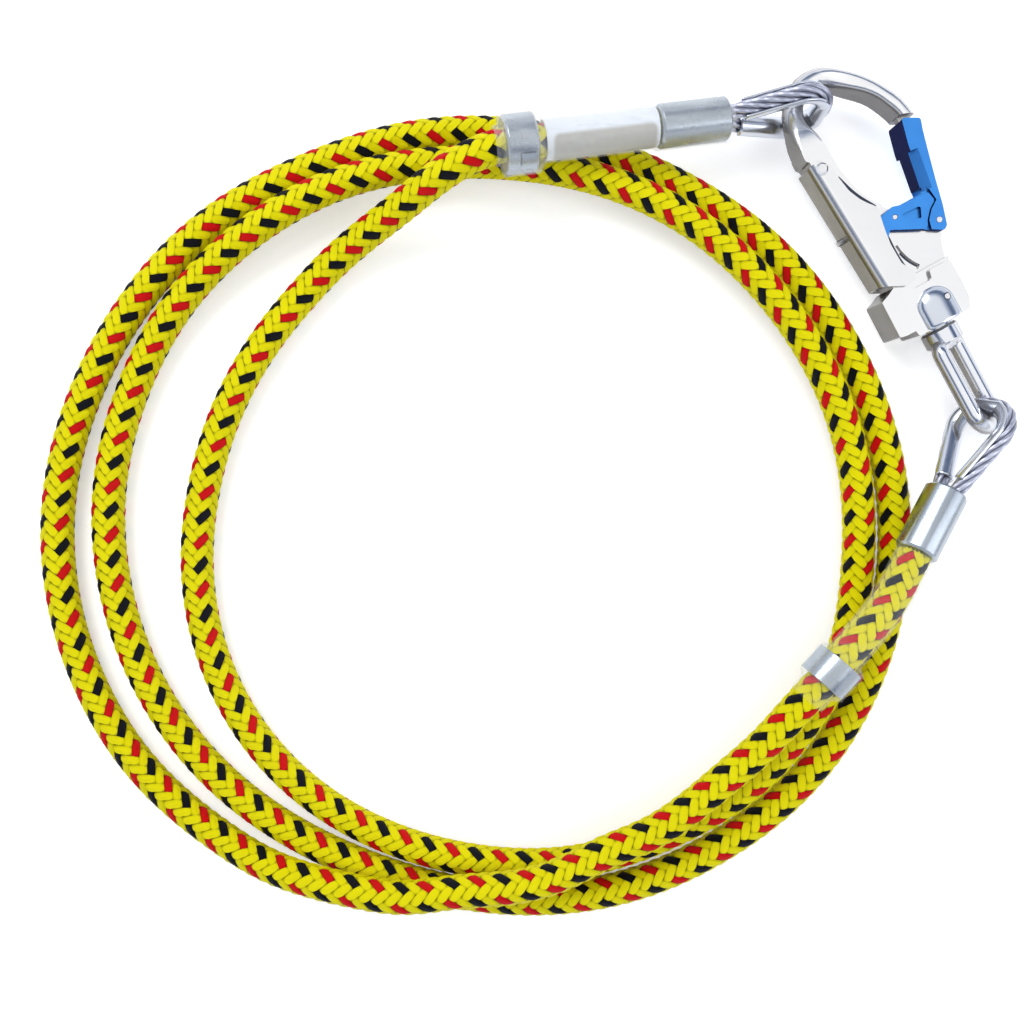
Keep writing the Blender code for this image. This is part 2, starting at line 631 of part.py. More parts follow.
def build_fitting(letter, frame, bend, outer, box, cutters, paints):
    """A swage sleeve, its wire eye and the thimble inside the eye."""
    back = frame @ Matrix.Rotation(-QUARTER_TURN, 4, "Y")
    profile = [(0, SLEEVE_LENGTH), (SLEEVE_RADIUS - SLEEVE_CHAMFER, SLEEVE_LENGTH),
               (SLEEVE_RADIUS, SLEEVE_LENGTH - SLEEVE_CHAMFER), (SLEEVE_RADIUS, SLEEVE_CHAMFER),
               (SLEEVE_RADIUS - SLEEVE_CHAMFER, 0), (0, 0)]
    sleeve = turned("swage_sleeve_" + letter, profile, SLEEVE_STEPS, back, box)
    low = SLEEVE_LENGTH - SLEEVE_BORE_DEPTH
    high = SLEEVE_LENGTH + SLEEVE_BORE_DEPTH
    bore = turned("sleeve_bore_" + letter, [(0, high), (CORE_BORE_RADIUS, high),
                  (CORE_BORE_RADIUS, low), (0, low)], PIN_STEPS, back, box)
    cut(sleeve, bore, cutters)
    half = STADIUM_WIDTH / 2
    tall = STADIUM_HEIGHT / 2
    stadium = rounded([(-tall, -half, tall), (tall, -half, tall), (tall, half, tall),
                       (-tall, half, tall)])
    turn = frame @ Matrix.Rotation(QUARTER_TURN, 4, "Y")
    mouth = plate("sleeve_mouth_" + letter, [stadium], -SLEEVE_BORE_DEPTH, SLEEVE_BORE_DEPTH,
                  turn, box)
    cut(sleeve, mouth, cutters)
    finish(sleeve, paints["satin"], True)
    eye = tube("wire_eye_" + letter, eye_line(bend, -LEG_IN_SLEEVE), WIRE_RADIUS, EIGHT_SIDES,
               frame, box)
    finish(eye, paints["steel"], True)
    thimble = profiled("thimble_" + letter, thimble_line(bend, outer), trough(outer), frame, box)
    finish(thimble, paints["zinc"], True)
    return back


def build_wraps(back_a, points, box, cutters, paints):
    """Crimp bands, the label and the clear sleeves over the rope's ends."""
    label = turned("label_band", [(LABEL_RADIUS, LABEL_END), (LABEL_RADIUS, LABEL_START),
                   (ROPE_COAT_RADIUS, LABEL_START), (ROPE_COAT_RADIUS, LABEL_END)],
                   TURN_STEPS, back_a, box, ring=True)
    finish(label, paints["label"], True)
    edge = BAND_RADIUS - BAND_CHAMFER
    band = turned("crimp_band_a", [(edge, BAND_END_A), (BAND_RADIUS, BAND_END_A - BAND_CHAMFER),
                  (BAND_RADIUS, BAND_START_A + BAND_CHAMFER), (edge, BAND_START_A),
                  (ROPE_COAT_RADIUS, BAND_START_A), (ROPE_COAT_RADIUS, BAND_END_A)],
                  TURN_STEPS, back_a, box, ring=True)
    finish(band, paints["satin"], True)
    over = BAND_RADIUS + GAP + CLEAR_WALL
    on_label = LABEL_RADIUS + GAP + CLEAR_WALL
    on_sleeve = SLEEVE_RADIUS + GAP + CLEAR_WALL
    skin = [(CLEAR_START_A, on_sleeve), (SLEEVE_LENGTH, on_sleeve), (LABEL_START, on_sleeve),
            (LABEL_START + 2 * CLEAR_WALL, on_label), (LABEL_END, on_label),
            (BAND_START_A - 3 * GAP, over), (BAND_END_A + 2 * GAP, over),
            (BAND_END_A + BAND_CHAMFER + 2 * GAP, LIP_RADIUS), (CLEAR_END_A, LIP_RADIUS)]
    outer = [(radius, along) for along, radius in reversed(skin)]
    inner = [(radius - CLEAR_WALL, along) for along, radius in skin]
    sleeve = turned("clear_sleeve_a", outer + inner, TURN_STEPS, back_a, box, ring=True)
    finish(sleeve, paints["clear"], True)

    steps = np.linalg.norm(np.diff(points, axis=0), axis=1)
    along = np.concatenate([[0], np.cumsum(steps)])
    middle = along[-1] - BAND_BACK_B
    half = BAND_LENGTH_B / 2
    here = Matrix.Identity(4)
    run = read_stretch(points, along, [middle - half, middle + half])
    band_b = tube("crimp_band_b", run, BAND_RADIUS_B, TWELVE_SIDES, here, box)
    bore = tube("band_bore_b", lengthened(run), ROPE_COAT_RADIUS, TWELVE_SIDES, here, box)
    cut(band_b, bore, cutters)
    finish(band_b, paints["satin"], True)
    flat = half + 2 * GAP
    slope = flat + BAND_RADIUS_B - CLEAR_RADIUS_B
    stops = [middle - slope - LIP_LENGTH_B, middle - slope, middle - flat, middle + flat,
             middle + slope, along[-1]]
    tail, reads = read_stretch(points, along, stops, True)
    wide = np.interp(np.abs(reads - middle), [flat, slope], [1, 0])
    inside = CLEAR_RADIUS_B - CLEAR_WALL
    rise = BAND_RADIUS_B + GAP - inside
    radii = 1 + wide * rise / CLEAR_RADIUS_B
    wrap = tube("clear_sleeve_b", tail, CLEAR_RADIUS_B, TWELVE_SIDES, here, box, radii=radii)
    radii = np.concatenate([[1.0], 1 + wide * rise / inside, [1.0]])
    hollow = tube("clear_hollow_b", lengthened(tail), inside, TWELVE_SIDES, here, box, radii=radii)
    cut(wrap, hollow, cutters)
    finish(wrap, paints["clear"], True)


def read_stretch(points, along, stops, with_reads=False):
    """The line's own points between the outer stops, with all the stops among them."""
    own = [at for at in along if stops[0] < at < stops[-1]
           and min(abs(at - stop) for stop in stops) > CLEAR_WALL]
    reads = np.array(sorted([*own, *stops]))
    stretch = np.stack([np.interp(reads, along, points[:, axis]) for axis in range(3)], 1)
    return (stretch, reads) if with_reads else stretch


def lengthened(points):
    """The same points with one more beyond each end, on the same line."""
    first = points[0] - (points[1] - points[0]) / np.linalg.norm(points[1] - points[0]) * CUT_OVER
    last = points[-1] + (points[-1] - points[-2]) / np.linalg.norm(points[-1] - points[-2]) * CUT_OVER
    return np.vstack([first, points, last])


def spot(share, level=0.0):
    """A hook point from shares of the span and a level."""
    return Vector((share[0] * HOOK_SPAN, share[1] * HOOK_SPAN, level))


def pin_at(name, share, radius, low, high, steps, frame, box):
    """A chamfered pin square to the hook's middle plane."""
    edge = radius - PIN_CHAMFER
    profile = [(0, high), (edge, high), (radius, high - PIN_CHAMFER), (radius, low + PIN_CHAMFER),
               (edge, low), (0, low)]
    here = frame @ Matrix.Translation(spot(share))
    return turned(name, profile, steps, here, box)


def hole_at(name, share, radius, low, high, steps, frame, box):
    """A plain round cutter square to the hook's middle plane."""
    profile = [(0, high), (radius, high), (radius, low), (0, low)]
    here = frame @ Matrix.Translation(spot(share))
    return turned(name, profile, steps, here, box)


def build_bow(frame, box):
    """The waist and the bow: square at the plate, round at the crown, then a rounded bar."""
    line = smooth_route(BOW_STATIONS)
    line = line[np.linspace(0, len(line) - 1, BOW_RINGS).astype(int)] * HOOK_SPAN
    rings = []
    for inner_x, inner_y, outer_x, outer_y, tall, corner in line:
        across = np.array([outer_x - inner_x, outer_y - inner_y])
        wide = np.linalg.norm(across)
        corner = min(corner, wide / 2 - PIN_PLAY, tall - PIN_PLAY)
        section = rounded([(0, -tall, corner), (wide, -tall, corner), (wide, tall, corner),
                           (0, tall, corner)])
        rings.append([(inner_x + across[0] * reach / wide, inner_y + across[1] * reach / wide, z)
                      for reach, z in section])
    count = len(rings[0])
    points = [point for ring in rings for point in ring]
    faces = [tuple(range(count)), tuple(reversed(range(len(points) - count, len(points))))]
    for row in range(len(rings) - 1):
        low = row * count
        faces += [(low + step, low + count + step, low + count + (step + 1) % count,
                   low + (step + 1) % count) for step in range(count)]
    mesh = bpy.data.meshes.new("hook_bow")
    mesh.from_pydata(points, [], faces)
    data = bmesh.new()
    data.from_mesh(mesh)
    bmesh.ops.recalc_face_normals(data, faces=data.faces)
    data.to_mesh(mesh)
    data.free()
    return add_object("hook_bow", mesh, frame, box)


def build_hook(frame, box, cutters, paints):
    """The hook's body: spine, lower block, waist and bow, with its steps and bores."""
    body = plate("hook_body", [rounded(PLATE_SHARES, HOOK_SPAN)], -PLATE_HALF, PLATE_HALF,
                 frame, box)
    for sign in (1, -1):
        low, high = sorted((sign * STEP_HALF, sign * (PLATE_HALF + CUT_OVER)))
        cut(body, plate("hook_step", [rounded(STEP_SHARES, HOOK_SPAN)], low, high, frame, box),
            cutters)
        low, high = sorted((sign * (STEP_HALF - GROOVE_DEPTH), sign * (STEP_HALF + CUT_OVER)))
        centre = spot(GATE_PIVOT_SHARE)[:2]
        for shares, turn in ((GROOVE_SHARES, GROOVE_TURN), (CRESCENT_SHARES, CRESCENT_TURN)):
            loop = arc_band(centre, shares[0] * HOOK_SPAN, shares[1] * HOOK_SPAN, turn)
            cut(body, plate("hook_groove", [loop], low, high, frame, box), cutters)
    block = plate("hook_block", [rounded(BLOCK_SHARES, HOOK_SPAN)], -BLOCK_HALF, BLOCK_HALF,
                  frame, box)
    bevel(block, BLOCK_BEVEL)
    cut(body, block, cutters, "UNION")
    cut(body, build_bow(frame, box), cutters, "UNION")
    cut(body, plate("hook_tongue", [rounded(TONGUE_SHARES, HOOK_SPAN)], -TONGUE_HALF,
                    TONGUE_HALF, frame, box), cutters, "UNION")
    reach = BLOCK_HALF + CUT_OVER
    cut(body, hole_at("pivot_bore", GATE_PIVOT_SHARE, PIVOT_RADIUS + PIN_PLAY, -reach, reach,
                      PIN_STEPS, frame, box), cutters)
    cut(body, hole_at("rivet_bore", RIVET_SHARE, RIVET_RADIUS + PIN_PLAY, -reach, reach,
                      PIN_STEPS, frame, box), cutters)
    cut(body, hole_at("cap_bore", ZERO, CAP_SPIGOT_RADIUS + GAP,
                      BLOCK_HALF - CAP_SPIGOT_LENGTH, reach, PIN_STEPS, frame, box), cutters)
    upright = frame @ Matrix.Rotation(-QUARTER_TURN, 4, "X")
    bore = SHANK_RADIUS + GAP
    low = END_FACE - CUT_OVER
    cut(body, turned("shank_bore", [(0, SHANK_BORE_TOP), (bore, SHANK_BORE_TOP), (bore, low),
                     (0, low)], PIN_STEPS, upright, box), cutters)
    move_origin(body, HOOK_SEAT)
    finish(body, paints["polished"], False)
    return upright


def build_gate(frame, box, cutters, paints):
    """The gate, its pivot pin, its trigger plates and their stub pins."""
    gate = plate("gate", [rounded(GATE_SHARES, HOOK_SPAN)], -PLATE_HALF, PLATE_HALF, frame, box)
    bevel(gate, PLATE_BEVEL)
    cut(gate, plate("gate_slot", [rounded(GATE_SLOT_SHARES, HOOK_SPAN)], -GATE_SLOT_HALF,
                    GATE_SLOT_HALF, frame, box), cutters)
    cut(gate, plate("nose_slot", [rounded(NOSE_SLOT_SHARES, HOOK_SPAN)], -NOSE_SLOT_HALF,
                    NOSE_SLOT_HALF, frame, box), cutters)
    reach = PLATE_HALF + CUT_OVER
    length = (RELIEF_SHARES[1] - RELIEF_SHARES[0]) * HOOK_SPAN
    lie = frame @ Matrix.Translation(spot((RELIEF_EDGE_SHARE, RELIEF_SHARES[0])))
    lie = lie @ Matrix.Rotation(RELIEF_TURN, 4, "Z") @ Matrix.Rotation(-QUARTER_TURN, 4, "X")
    for sign in (1, -1):
        wedge = [(-CUT_OVER, sign * (RELIEF_DEPTH - PLATE_HALF)), (0, sign * (RELIEF_DEPTH - PLATE_HALF)),
                 (RELIEF_WIDTH, -sign * PLATE_HALF), (RELIEF_WIDTH, -sign * reach),
                 (-CUT_OVER, -sign * reach)]
        cut(gate, plate("gate_relief", [wedge], 0, length, lie, box), cutters)
    for sign in (1, -1):
        low, high = sorted((sign * GATE_ARM_TOP, sign * reach))
        cut(gate, plate("gate_thin", [rounded(GATE_THIN_SHARES, HOOK_SPAN)], low, high, frame,
                        box), cutters)
    cut(gate, hole_at("gate_pivot_bore", GATE_PIVOT_SHARE, PIVOT_RADIUS + PIN_PLAY, -reach, reach,
                      PIN_STEPS, frame, box), cutters)
    cut(gate, hole_at("gate_pin_bore", TRIGGER_PIN_SHARE, TRIGGER_PIN_RADIUS + PIN_PLAY, -reach,
                      reach, PIN_STEPS, frame, box), cutters)
    move_origin(gate, frame @ spot(GATE_PIVOT_SHARE))
    finish(gate, paints["blue"], False)
    pivot = pin_at("gate_pivot_pin", GATE_PIVOT_SHARE, PIVOT_RADIUS, -PLATE_HALF - GAP,
                   PLATE_HALF + GAP, PIN_STEPS, frame, box)
    finish(pivot, paints["polished"], True)
    for name, sign in (("front", 1), ("back", -1)):
        low, high = sorted((sign * TRIGGER_LOW, sign * TRIGGER_TOP))
        hole = rounded(POCKET_SHARES, HOOK_SPAN)
        wing = plate("trigger_" + name, [rounded(TRIGGER_SHARES, HOOK_SPAN), hole], low, high,
                     frame, box)
        cut(wing, hole_at("wing_bore_" + name, TRIGGER_PIN_SHARE, TRIGGER_PIN_RADIUS + PIN_PLAY,
                          low - CUT_OVER, high + CUT_OVER, PIN_STEPS, frame, box), cutters)
        move_origin(wing, frame @ spot(TRIGGER_PIN_SHARE))
        finish(wing, paints["blue"], False)
        low, high = sorted((sign * GATE_SLOT_HALF, sign * (TRIGGER_TOP + GAP / 2)))
        stub = pin_at("trigger_pin_" + name, TRIGGER_PIN_SHARE, TRIGGER_PIN_RADIUS, low, high,
                      PIN_STEPS, frame, box)
        finish(stub, paints["polished"], True)


def build_lever(frame, box, cutters, paints):
    """The back lever, its rivet and its stop pin."""
    lever = plate("lock_lever", [rounded(LEVER_SHARES, HOOK_SPAN)], -BLOCK_HALF, BLOCK_HALF,
                  frame, box)
    bevel(lever, PLATE_BEVEL)
    cut(lever, plate("lever_hollow", [rounded(LEVER_HOLLOW_SHARES, HOOK_SPAN)], -LEVER_INNER,
                     LEVER_INNER, frame, box), cutters)
    top, foot = spot(LEVER_FOLD_SHARES[0]), spot(LEVER_FOLD_SHARES[1])
    turn = math.atan2(top.x - foot.x, foot.y - top.y) + math.pi
    lie = frame @ Matrix.Translation(foot) @ Matrix.Rotation(turn, 4, "Z")
    lie = lie @ Matrix.Rotation(-QUARTER_TURN, 4, "X")
    fold = rounded([(0, -BLOCK_HALF, LEVER_FOLD), (LEVER_FOLD_REACH, -BLOCK_HALF, 0),
                    (LEVER_FOLD_REACH, BLOCK_HALF, 0), (0, BLOCK_HALF, LEVER_FOLD)])
    cut(lever, plate("lever_fold", [fold], -CUT_OVER, (top - foot).length + CUT_OVER, lie, box),
        cutters, "INTERSECT")
    reach = BLOCK_HALF + CUT_OVER
    cut(lever, hole_at("lever_bore", RIVET_SHARE, RIVET_RADIUS + PIN_PLAY, -reach, reach,
                       PIN_STEPS, frame, box), cutters)
    sideways = frame @ Matrix.Translation(spot(STOP_PIN_SHARE)) @ Matrix.Rotation(
        QUARTER_TURN, 4, "Y")
    wide = STOP_PIN_RADIUS + PIN_PLAY
    low, high = -CUT_OVER, STOP_PIN_LENGTH + CUT_OVER
    cut(lever, turned("stop_bore", [(0, high), (wide, high), (wide, low), (0, low)], PIN_STEPS,
                      sideways, box), cutters)
    move_origin(lever, frame @ spot(RIVET_SHARE))
    finish(lever, paints["polished"], False)
    edge = STOP_PIN_RADIUS - PIN_CHAMFER
    high = STOP_PIN_LENGTH
    stop = turned("lever_stop_pin", [(0, high), (edge, high), (STOP_PIN_RADIUS, high - PIN_CHAMFER),
                  (STOP_PIN_RADIUS, PIN_CHAMFER), (edge, 0), (0, 0)], PIN_STEPS, sideways, box)
    finish(stop, paints["zinc"], True)
    head = BLOCK_HALF + GAP
    top = head + RIVET_HEAD_HEIGHT
    mid = RIVET_HEAD_RADIUS - RIVET_HEAD_HEIGHT
    profile = [(0, top), (mid, top), (RIVET_HEAD_RADIUS, head), (RIVET_RADIUS, head),
               (RIVET_RADIUS, -head), (RIVET_HEAD_RADIUS, -head), (mid, -top), (0, -top)]
    here = frame @ Matrix.Translation(spot(RIVET_SHARE))
    finish(turned("lever_rivet", profile, PIN_STEPS, here, box), paints["polished"], True)


def build_swivel(frame, upright, box, cutters, paints):
    """The swivel eye with its collar and shank, the washer and the front cap."""
    collar_top = END_FACE - 2 * GAP - WASHER_THICK
    low = COLLAR_END
    edge = COLLAR_RADIUS - COLLAR_CHAMFER
    profile = [(0, SHANK_TOP), (SHANK_RADIUS, SHANK_TOP), (SHANK_RADIUS, collar_top),
               (edge, collar_top), (COLLAR_RADIUS, collar_top - COLLAR_CHAMFER),
               (COLLAR_RADIUS, low + COLLAR_CHAMFER), (edge, low), (0, low)]
    eye = turned("swivel_eye", profile, TURN_STEPS, upright, box)
    turned_frame = frame @ Matrix.Rotation(SWIVEL_ROLL, 4, "Y")
    loop = rounded([(SWIVEL_LEG, SWIVEL_TOP, SWIVEL_CORNER), (-SWIVEL_LEG, SWIVEL_TOP, SWIVEL_CORNER),
                    (-SWIVEL_LEG, SWIVEL_BOTTOM, SWIVEL_LEG), (SWIVEL_LEG, SWIVEL_BOTTOM, SWIVEL_LEG)])
    clean = [point for index, point in enumerate(loop)
             if math.dist(point, loop[index - 1]) > GAP]
    ring = tube("swivel_loop", [(x, y, 0) for x, y in clean], SWIVEL_WIRE, TWELVE_SIDES,
                turned_frame, box, closed=True)
    cut(eye, ring, cutters, "UNION")
    finish(eye, paints["polished"], True)
    high = END_FACE - GAP
    low = high - WASHER_THICK
    inner = SHANK_RADIUS + GAP
    washer = turned("swivel_washer", [(WASHER_RADIUS, high), (WASHER_RADIUS, low), (inner, low),
                    (inner, high)], TURN_STEPS, upright, box, ring=True)
    finish(washer, paints["zinc"], True)
    base = BLOCK_HALF + GAP
    profile = [(CAP_RADIUS * share, base + CAP_HEIGHT * rise) for share, rise in CAP_RISE_SHARES]
    foot = base - CAP_SPIGOT_LENGTH
    profile += [(CAP_SPIGOT_RADIUS, base), (CAP_SPIGOT_RADIUS, foot), (0, foot)]
    cap = turned("swivel_cap", profile, TURN_STEPS, frame, box)
    finish(cap, paints["polished"], True)


def main():
    """Build every piece in one shared frame."""
    clear_scene()
    box = new_collection("tree climbing lanyard")
    cutters = new_collection("cutters")
    paints = {
        "rope": new_material("braided polyester", ROPE_YELLOW, 0, 0.6),
        "steel": new_material("galvanised wire", STEEL_GREY, 1, 0.4),
        "zinc": new_material("zinc plate", ZINC, 1, 0.25),
        "satin": new_material("satin aluminium", SATIN, 1, 0.4),
        "polished": new_material("polished aluminium", POLISHED, 1, 0.15),
        "blue": new_material("blue anodised", GATE_BLUE, 1, 0.3),
        "clear": new_material("clear sleeve", CLEAR_TINT, 0, 0.1),
        "label": new_material("white label", LABEL_WHITE, 0, 0.5),
    }
    frame_a, frame_b = fitting_frames()
    points = build_rope(frame_a, frame_b, box, cutters, paints)
    back_a = build_fitting("a", frame_a, EYE_BEND_A, THIMBLE_OUTER_A, box, cutters, paints)
    build_fitting("b", frame_b, EYE_BEND_B, THIMBLE_OUTER_B, box, cutters, paints)
    build_wraps(back_a, points, box, cutters, paints)
    frame = hook_frame()
    upright = build_hook(frame, box, cutters, paints)
    build_gate(frame, box, cutters, paints)
    build_lever(frame, box, cutters, paints)
    build_swivel(frame, upright, box, cutters, paints)


main()
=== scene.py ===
"""Tree climbing lanyard, dressed: braided rope, stranded wire eyes, pressed sleeves, clear
wraps, polished snap hook and a plain studio. Metres, +Z up."""

import math

import bmesh
import bpy
import numpy as np
from mathutils import Matrix, Vector


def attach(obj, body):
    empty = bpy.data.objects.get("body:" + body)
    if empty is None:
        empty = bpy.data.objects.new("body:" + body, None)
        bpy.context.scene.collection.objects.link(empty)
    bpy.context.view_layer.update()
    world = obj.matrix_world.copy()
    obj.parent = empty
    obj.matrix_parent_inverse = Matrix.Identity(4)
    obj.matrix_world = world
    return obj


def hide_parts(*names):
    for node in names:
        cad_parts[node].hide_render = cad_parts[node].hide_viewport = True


bl_info = {
    "name": "Climbing lanyard",
    "version": (1, 0, 0),
    "blender": (4, 5, 0),
    "location": "View3D > Sidebar > Lanyard",
    "description": "Builds the braided lanyard, its fittings, its hook and a studio",
    "category": "Object",
}

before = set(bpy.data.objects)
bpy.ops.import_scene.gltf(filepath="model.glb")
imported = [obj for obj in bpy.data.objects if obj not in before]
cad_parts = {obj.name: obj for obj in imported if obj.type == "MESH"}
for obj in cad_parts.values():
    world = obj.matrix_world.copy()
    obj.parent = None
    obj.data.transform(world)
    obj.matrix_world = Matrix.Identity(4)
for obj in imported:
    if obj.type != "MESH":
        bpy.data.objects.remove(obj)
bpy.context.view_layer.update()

# the two fittings: face towards the eye, heading, slope and roll of the eye's plane
FITTING_A = ((-0.04381, 0.0783, 0.02075), 9.5, -7.5, 76.7)
FITTING_B = ((0.04598, -0.07166, 0.01889), 60.0, -7.5, -55.0)

# the wire eyes, each in the plane of its own fitting
EYE_REACH = 0.030
EYE_ROOT = 0.0036
EYE_EASE = 0.0012
EYE_FLARE = 0.0003
EYE_BENDS = {"a": 0.0117, "b": 0.0115}
WIRE_TUCK = 0.0115
WIRE_STEP = 0.00055
WIRE_STRANDS = 6
WIRE_PLACES = 48
ARC_STEPS = 160
LEAN_TRIES = 40

# the thimbles inside the eyes
THIMBLE_OUTERS = {"a": 0.0046, "b": 0.0044}
THIMBLE_PLAY = 0.0003
THIMBLE_GAP = 0.0005
THIMBLE_WRAP = 100.0
THIMBLE_STEP = 0.0007
WRAP_STEPS = 21
LIP_STEPS = 5

# the pressed sleeves, the band's tab and the label, by their distances back from the face
SLEEVE_FLATS = 8
SLEEVE_PRESSES = {"a": 0.25, "b": 0.55}
SLEEVE_BORE = 0.0076
SLEEVE_EDGE = 0.0002
SLEEVE_SHARP = 50.0
TAB_BACK = (0.0806, 0.0868)
TAB_TURN = (52, 84)
TAB_LEVELS = (0.0119, 0.0123)
TAB_EDGE = 0.00015
TAB_STEPS = (5, 9)
LABEL_BACK = (0.0300, 0.0755)
LABEL_LEVELS = (0.0068, 0.0078)
LABEL_STEPS = 64

# the label's soft panel: its middle as shares around and along, the rest in millimetres
LABEL_AROUND = 49.0
LABEL_LENGTH = 45.5
PANEL_MIDDLE = (0.185, 0.485)
PANEL_HALF = (3.9, 18.4)
PANEL_CORNER = 2.5
PANEL_SOFT = 0.7

# the rope's straight ends, by their distances back from each fitting's face
ROPE_START = 0.0293
AXIS_A = (ROPE_START, 0.044, 0.059, 0.074, 0.084, 0.091)
AXIS_B = (0.048, 0.038, ROPE_START)

# the braid: strands, grid steps over each, and how high the waves and crowns stand
STRANDS = 16
STRAND_STEPS = 3
WAVE = 0.8
RELIEF = 0.00052
MIDDLE_HEIGHT = 1.2
BRAID_TURN = 34
BRAID_DRIFT = 14
BRAID_DRIFTS = 3
FLOOR_NUDGE = 1e-6
PATH_STEP = 8
LENGTH_READS = 100
CURVE_READS = 16000

# the coil's centre line, laid from the first fitting to the second
ROUTE = [
    (-0.1580, 0.0530, 0.0290), (-0.1725, 0.0445, 0.0210), (-0.2030, 0.0245, 0.0080),
    (-0.2165, 0.0110, 0.0065), (-0.2290, -0.0040, 0.0065), (-0.2485, -0.0375, 0.0065),
    (-0.2585, -0.0715, 0.0065), (-0.2610, -0.1050, 0.0065), (-0.2555, -0.1365, 0.0065),
    (-0.2400, -0.1690, 0.0065), (-0.2145, -0.1965, 0.0065), (-0.1800, -0.2160, 0.0065),
    (-0.1425, -0.2255, 0.0065), (-0.1015, -0.2250, 0.0070), (-0.0675, -0.2135, 0.0095),
    (-0.0475, -0.2025, 0.0115), (-0.0265, -0.1860, 0.0130), (-0.0120, -0.1690, 0.0130),
    (0.0050, -0.1415, 0.0115), (0.0130, -0.1100, 0.0075), (0.0135, -0.0765, 0.0085),
    (0.0065, -0.0425, 0.0110), (-0.0095, -0.0095, 0.0125), (-0.0330, 0.0195, 0.0135),
    (-0.0615, 0.0420, 0.0135), (-0.0950, 0.0565, 0.0135), (-0.1300, 0.0635, 0.0110),
    (-0.1680, 0.0625, 0.0125), (-0.2040, 0.0535, 0.0130), (-0.2385, 0.0345, 0.0115),
    (-0.2685, 0.0060, 0.0080), (-0.2885, -0.0310, 0.0065), (-0.2975, -0.0695, 0.0065),
    (-0.2960, -0.1070, 0.0065), (-0.2845, -0.1445, 0.0065), (-0.2630, -0.1785, 0.0065),
    (-0.2340, -0.2050, 0.0065), (-0.1995, -0.2240, 0.0065), (-0.1615, -0.2365, 0.0065),
    (-0.1200, -0.2410, 0.0065), (-0.0795, -0.2350, 0.0065), (-0.0420, -0.2180, 0.0065),
    (-0.0105, -0.1930, 0.0065), (0.0140, -0.1575, 0.0065), (0.0265, -0.1190, 0.0065),
    (0.0290, -0.0805, 0.0065), (0.0220, -0.0420, 0.0065), (0.0055, -0.0055, 0.0065),
    (-0.0210, 0.0280, 0.0065), (-0.0545, 0.0525, 0.0065), (-0.0915, 0.0690, 0.0065),
    (-0.1320, 0.0775, 0.0065), (-0.1745, 0.0755, 0.0065), (-0.2140, 0.0630, 0.0065),
    (-0.2520, 0.0425, 0.0065), (-0.2835, 0.0115, 0.0065), (-0.3060, -0.0270, 0.0065),
    (-0.3180, -0.0695, 0.0065), (-0.3175, -0.1120, 0.0065), (-0.3055, -0.1520, 0.0065),
    (-0.2830, -0.1875, 0.0065), (-0.2515, -0.2145, 0.0075), (-0.2325, -0.2245, 0.0110),
    (-0.2125, -0.2295, 0.0170), (-0.1925, -0.2330, 0.0200), (-0.1720, -0.2350, 0.0210),
    (-0.1535, -0.2330, 0.0210), (-0.1300, -0.2310, 0.0210), (-0.1105, -0.2260, 0.0205),
    (-0.0930, -0.2175, 0.0205), (-0.0750, -0.2095, 0.0215), (-0.0585, -0.1985, 0.0225),
    (-0.0440, -0.1860, 0.0235), (-0.0300, -0.1730, 0.0250), (-0.0175, -0.1585, 0.0270),
    (-0.0040, -0.1430, 0.0285), (0.0095, -0.1280, 0.0280),
]

# the hook: its seat on the swivel's axis, its turn and tilt, and its levels
HOOK_SEAT = (0.0407, 0.0039, 0.0116)
HOOK_TURN = 29.3
HOOK_TILT = 2.4
HOOK_SPAN = 0.100
BLOCK_FRONT = 0.0088
PLATE_FRONT = 0.0070
STEP_FRONT = 0.0042

# dark sheets of painted shade in the grooves about the gate's pivot: two radii and two angles
GATE_PIVOT = (0.0183, 0.0292)
GROOVES = ((0.0229, 0.0243, 188, 214), (0.0188, 0.0198, 192, 219))
GROOVE_FLOOR = 0.0030
SHADE_THICKNESS = 0.00006
SHADE_PLAY = 0.0001
GROOVE_STEPS = 25

# dark lines of painted shade beside the lever's edges: shares of the hook's span, width and level
LEDGES = (
    ("ledge_shade", ((-0.097, 0.640), (-0.084, 0.574), (-0.054, 0.510), (-0.018, 0.464)), 0.0012,
     PLATE_FRONT),
    ("lever_shade", ((-0.020, 0.335), (-0.027, 0.290), (-0.028, 0.240), (-0.021, 0.195),
                     (-0.010, 0.156)), 0.0011, STEP_FRONT),
)
LEDGE_LOW = 0.00002
LEDGE_ENDS = (0.15, 0.10)
LEDGE_BLUNT = 0.6
LEDGE_STEPS = 30

# the swivel's housing on the block and its pin, from the hook's seat
BARREL_HALF = 0.0076
BARREL_RISE = 0.0034
BARREL_FOOT = -0.0079
BARREL_TOP = 0.0074
BARREL_EDGE = 0.0004
BARREL_EDGE_SHARES = (0.90, 0.98)
BARREL_SINK = 0.0002
BODY_STEPS = 5
DOME_STEPS = 15
DOME_TIP = 0.02
ACROSS_STEPS = 33
PIN_SPOT = (0.0040, 0.0010)
PIN_FOOT = 0.0100
PIN_SIZE = (0.0011, 0.0126)
# the dark disc round the pin is painted shade
PIN_HOLE_SIZE = (0.0016, 0.0122)
PIN_EYE = 0.00001
PIN_RIM = 0.2
PIN_STEPS = 24
PIN_SHARP = 35.0

# the broken edges of the machined pieces
EDGE_SEGMENTS = 2
GATE_EDGE = 0.0004
TRIGGER_EDGE = 0.0002
LEVER_EDGE = 0.0003
SWIVEL_EDGE = 0.0003

# cleaning of the machined pieces: weld in metres, angles in degrees
WELD = 0.000002
FLAT_ANGLE = 0.5
SHARP_ANGLE = 32.0
SWIVEL_SHARP = 40.0
SHELL_SHARP = 40.0
NORMAL_WEIGHT = 90
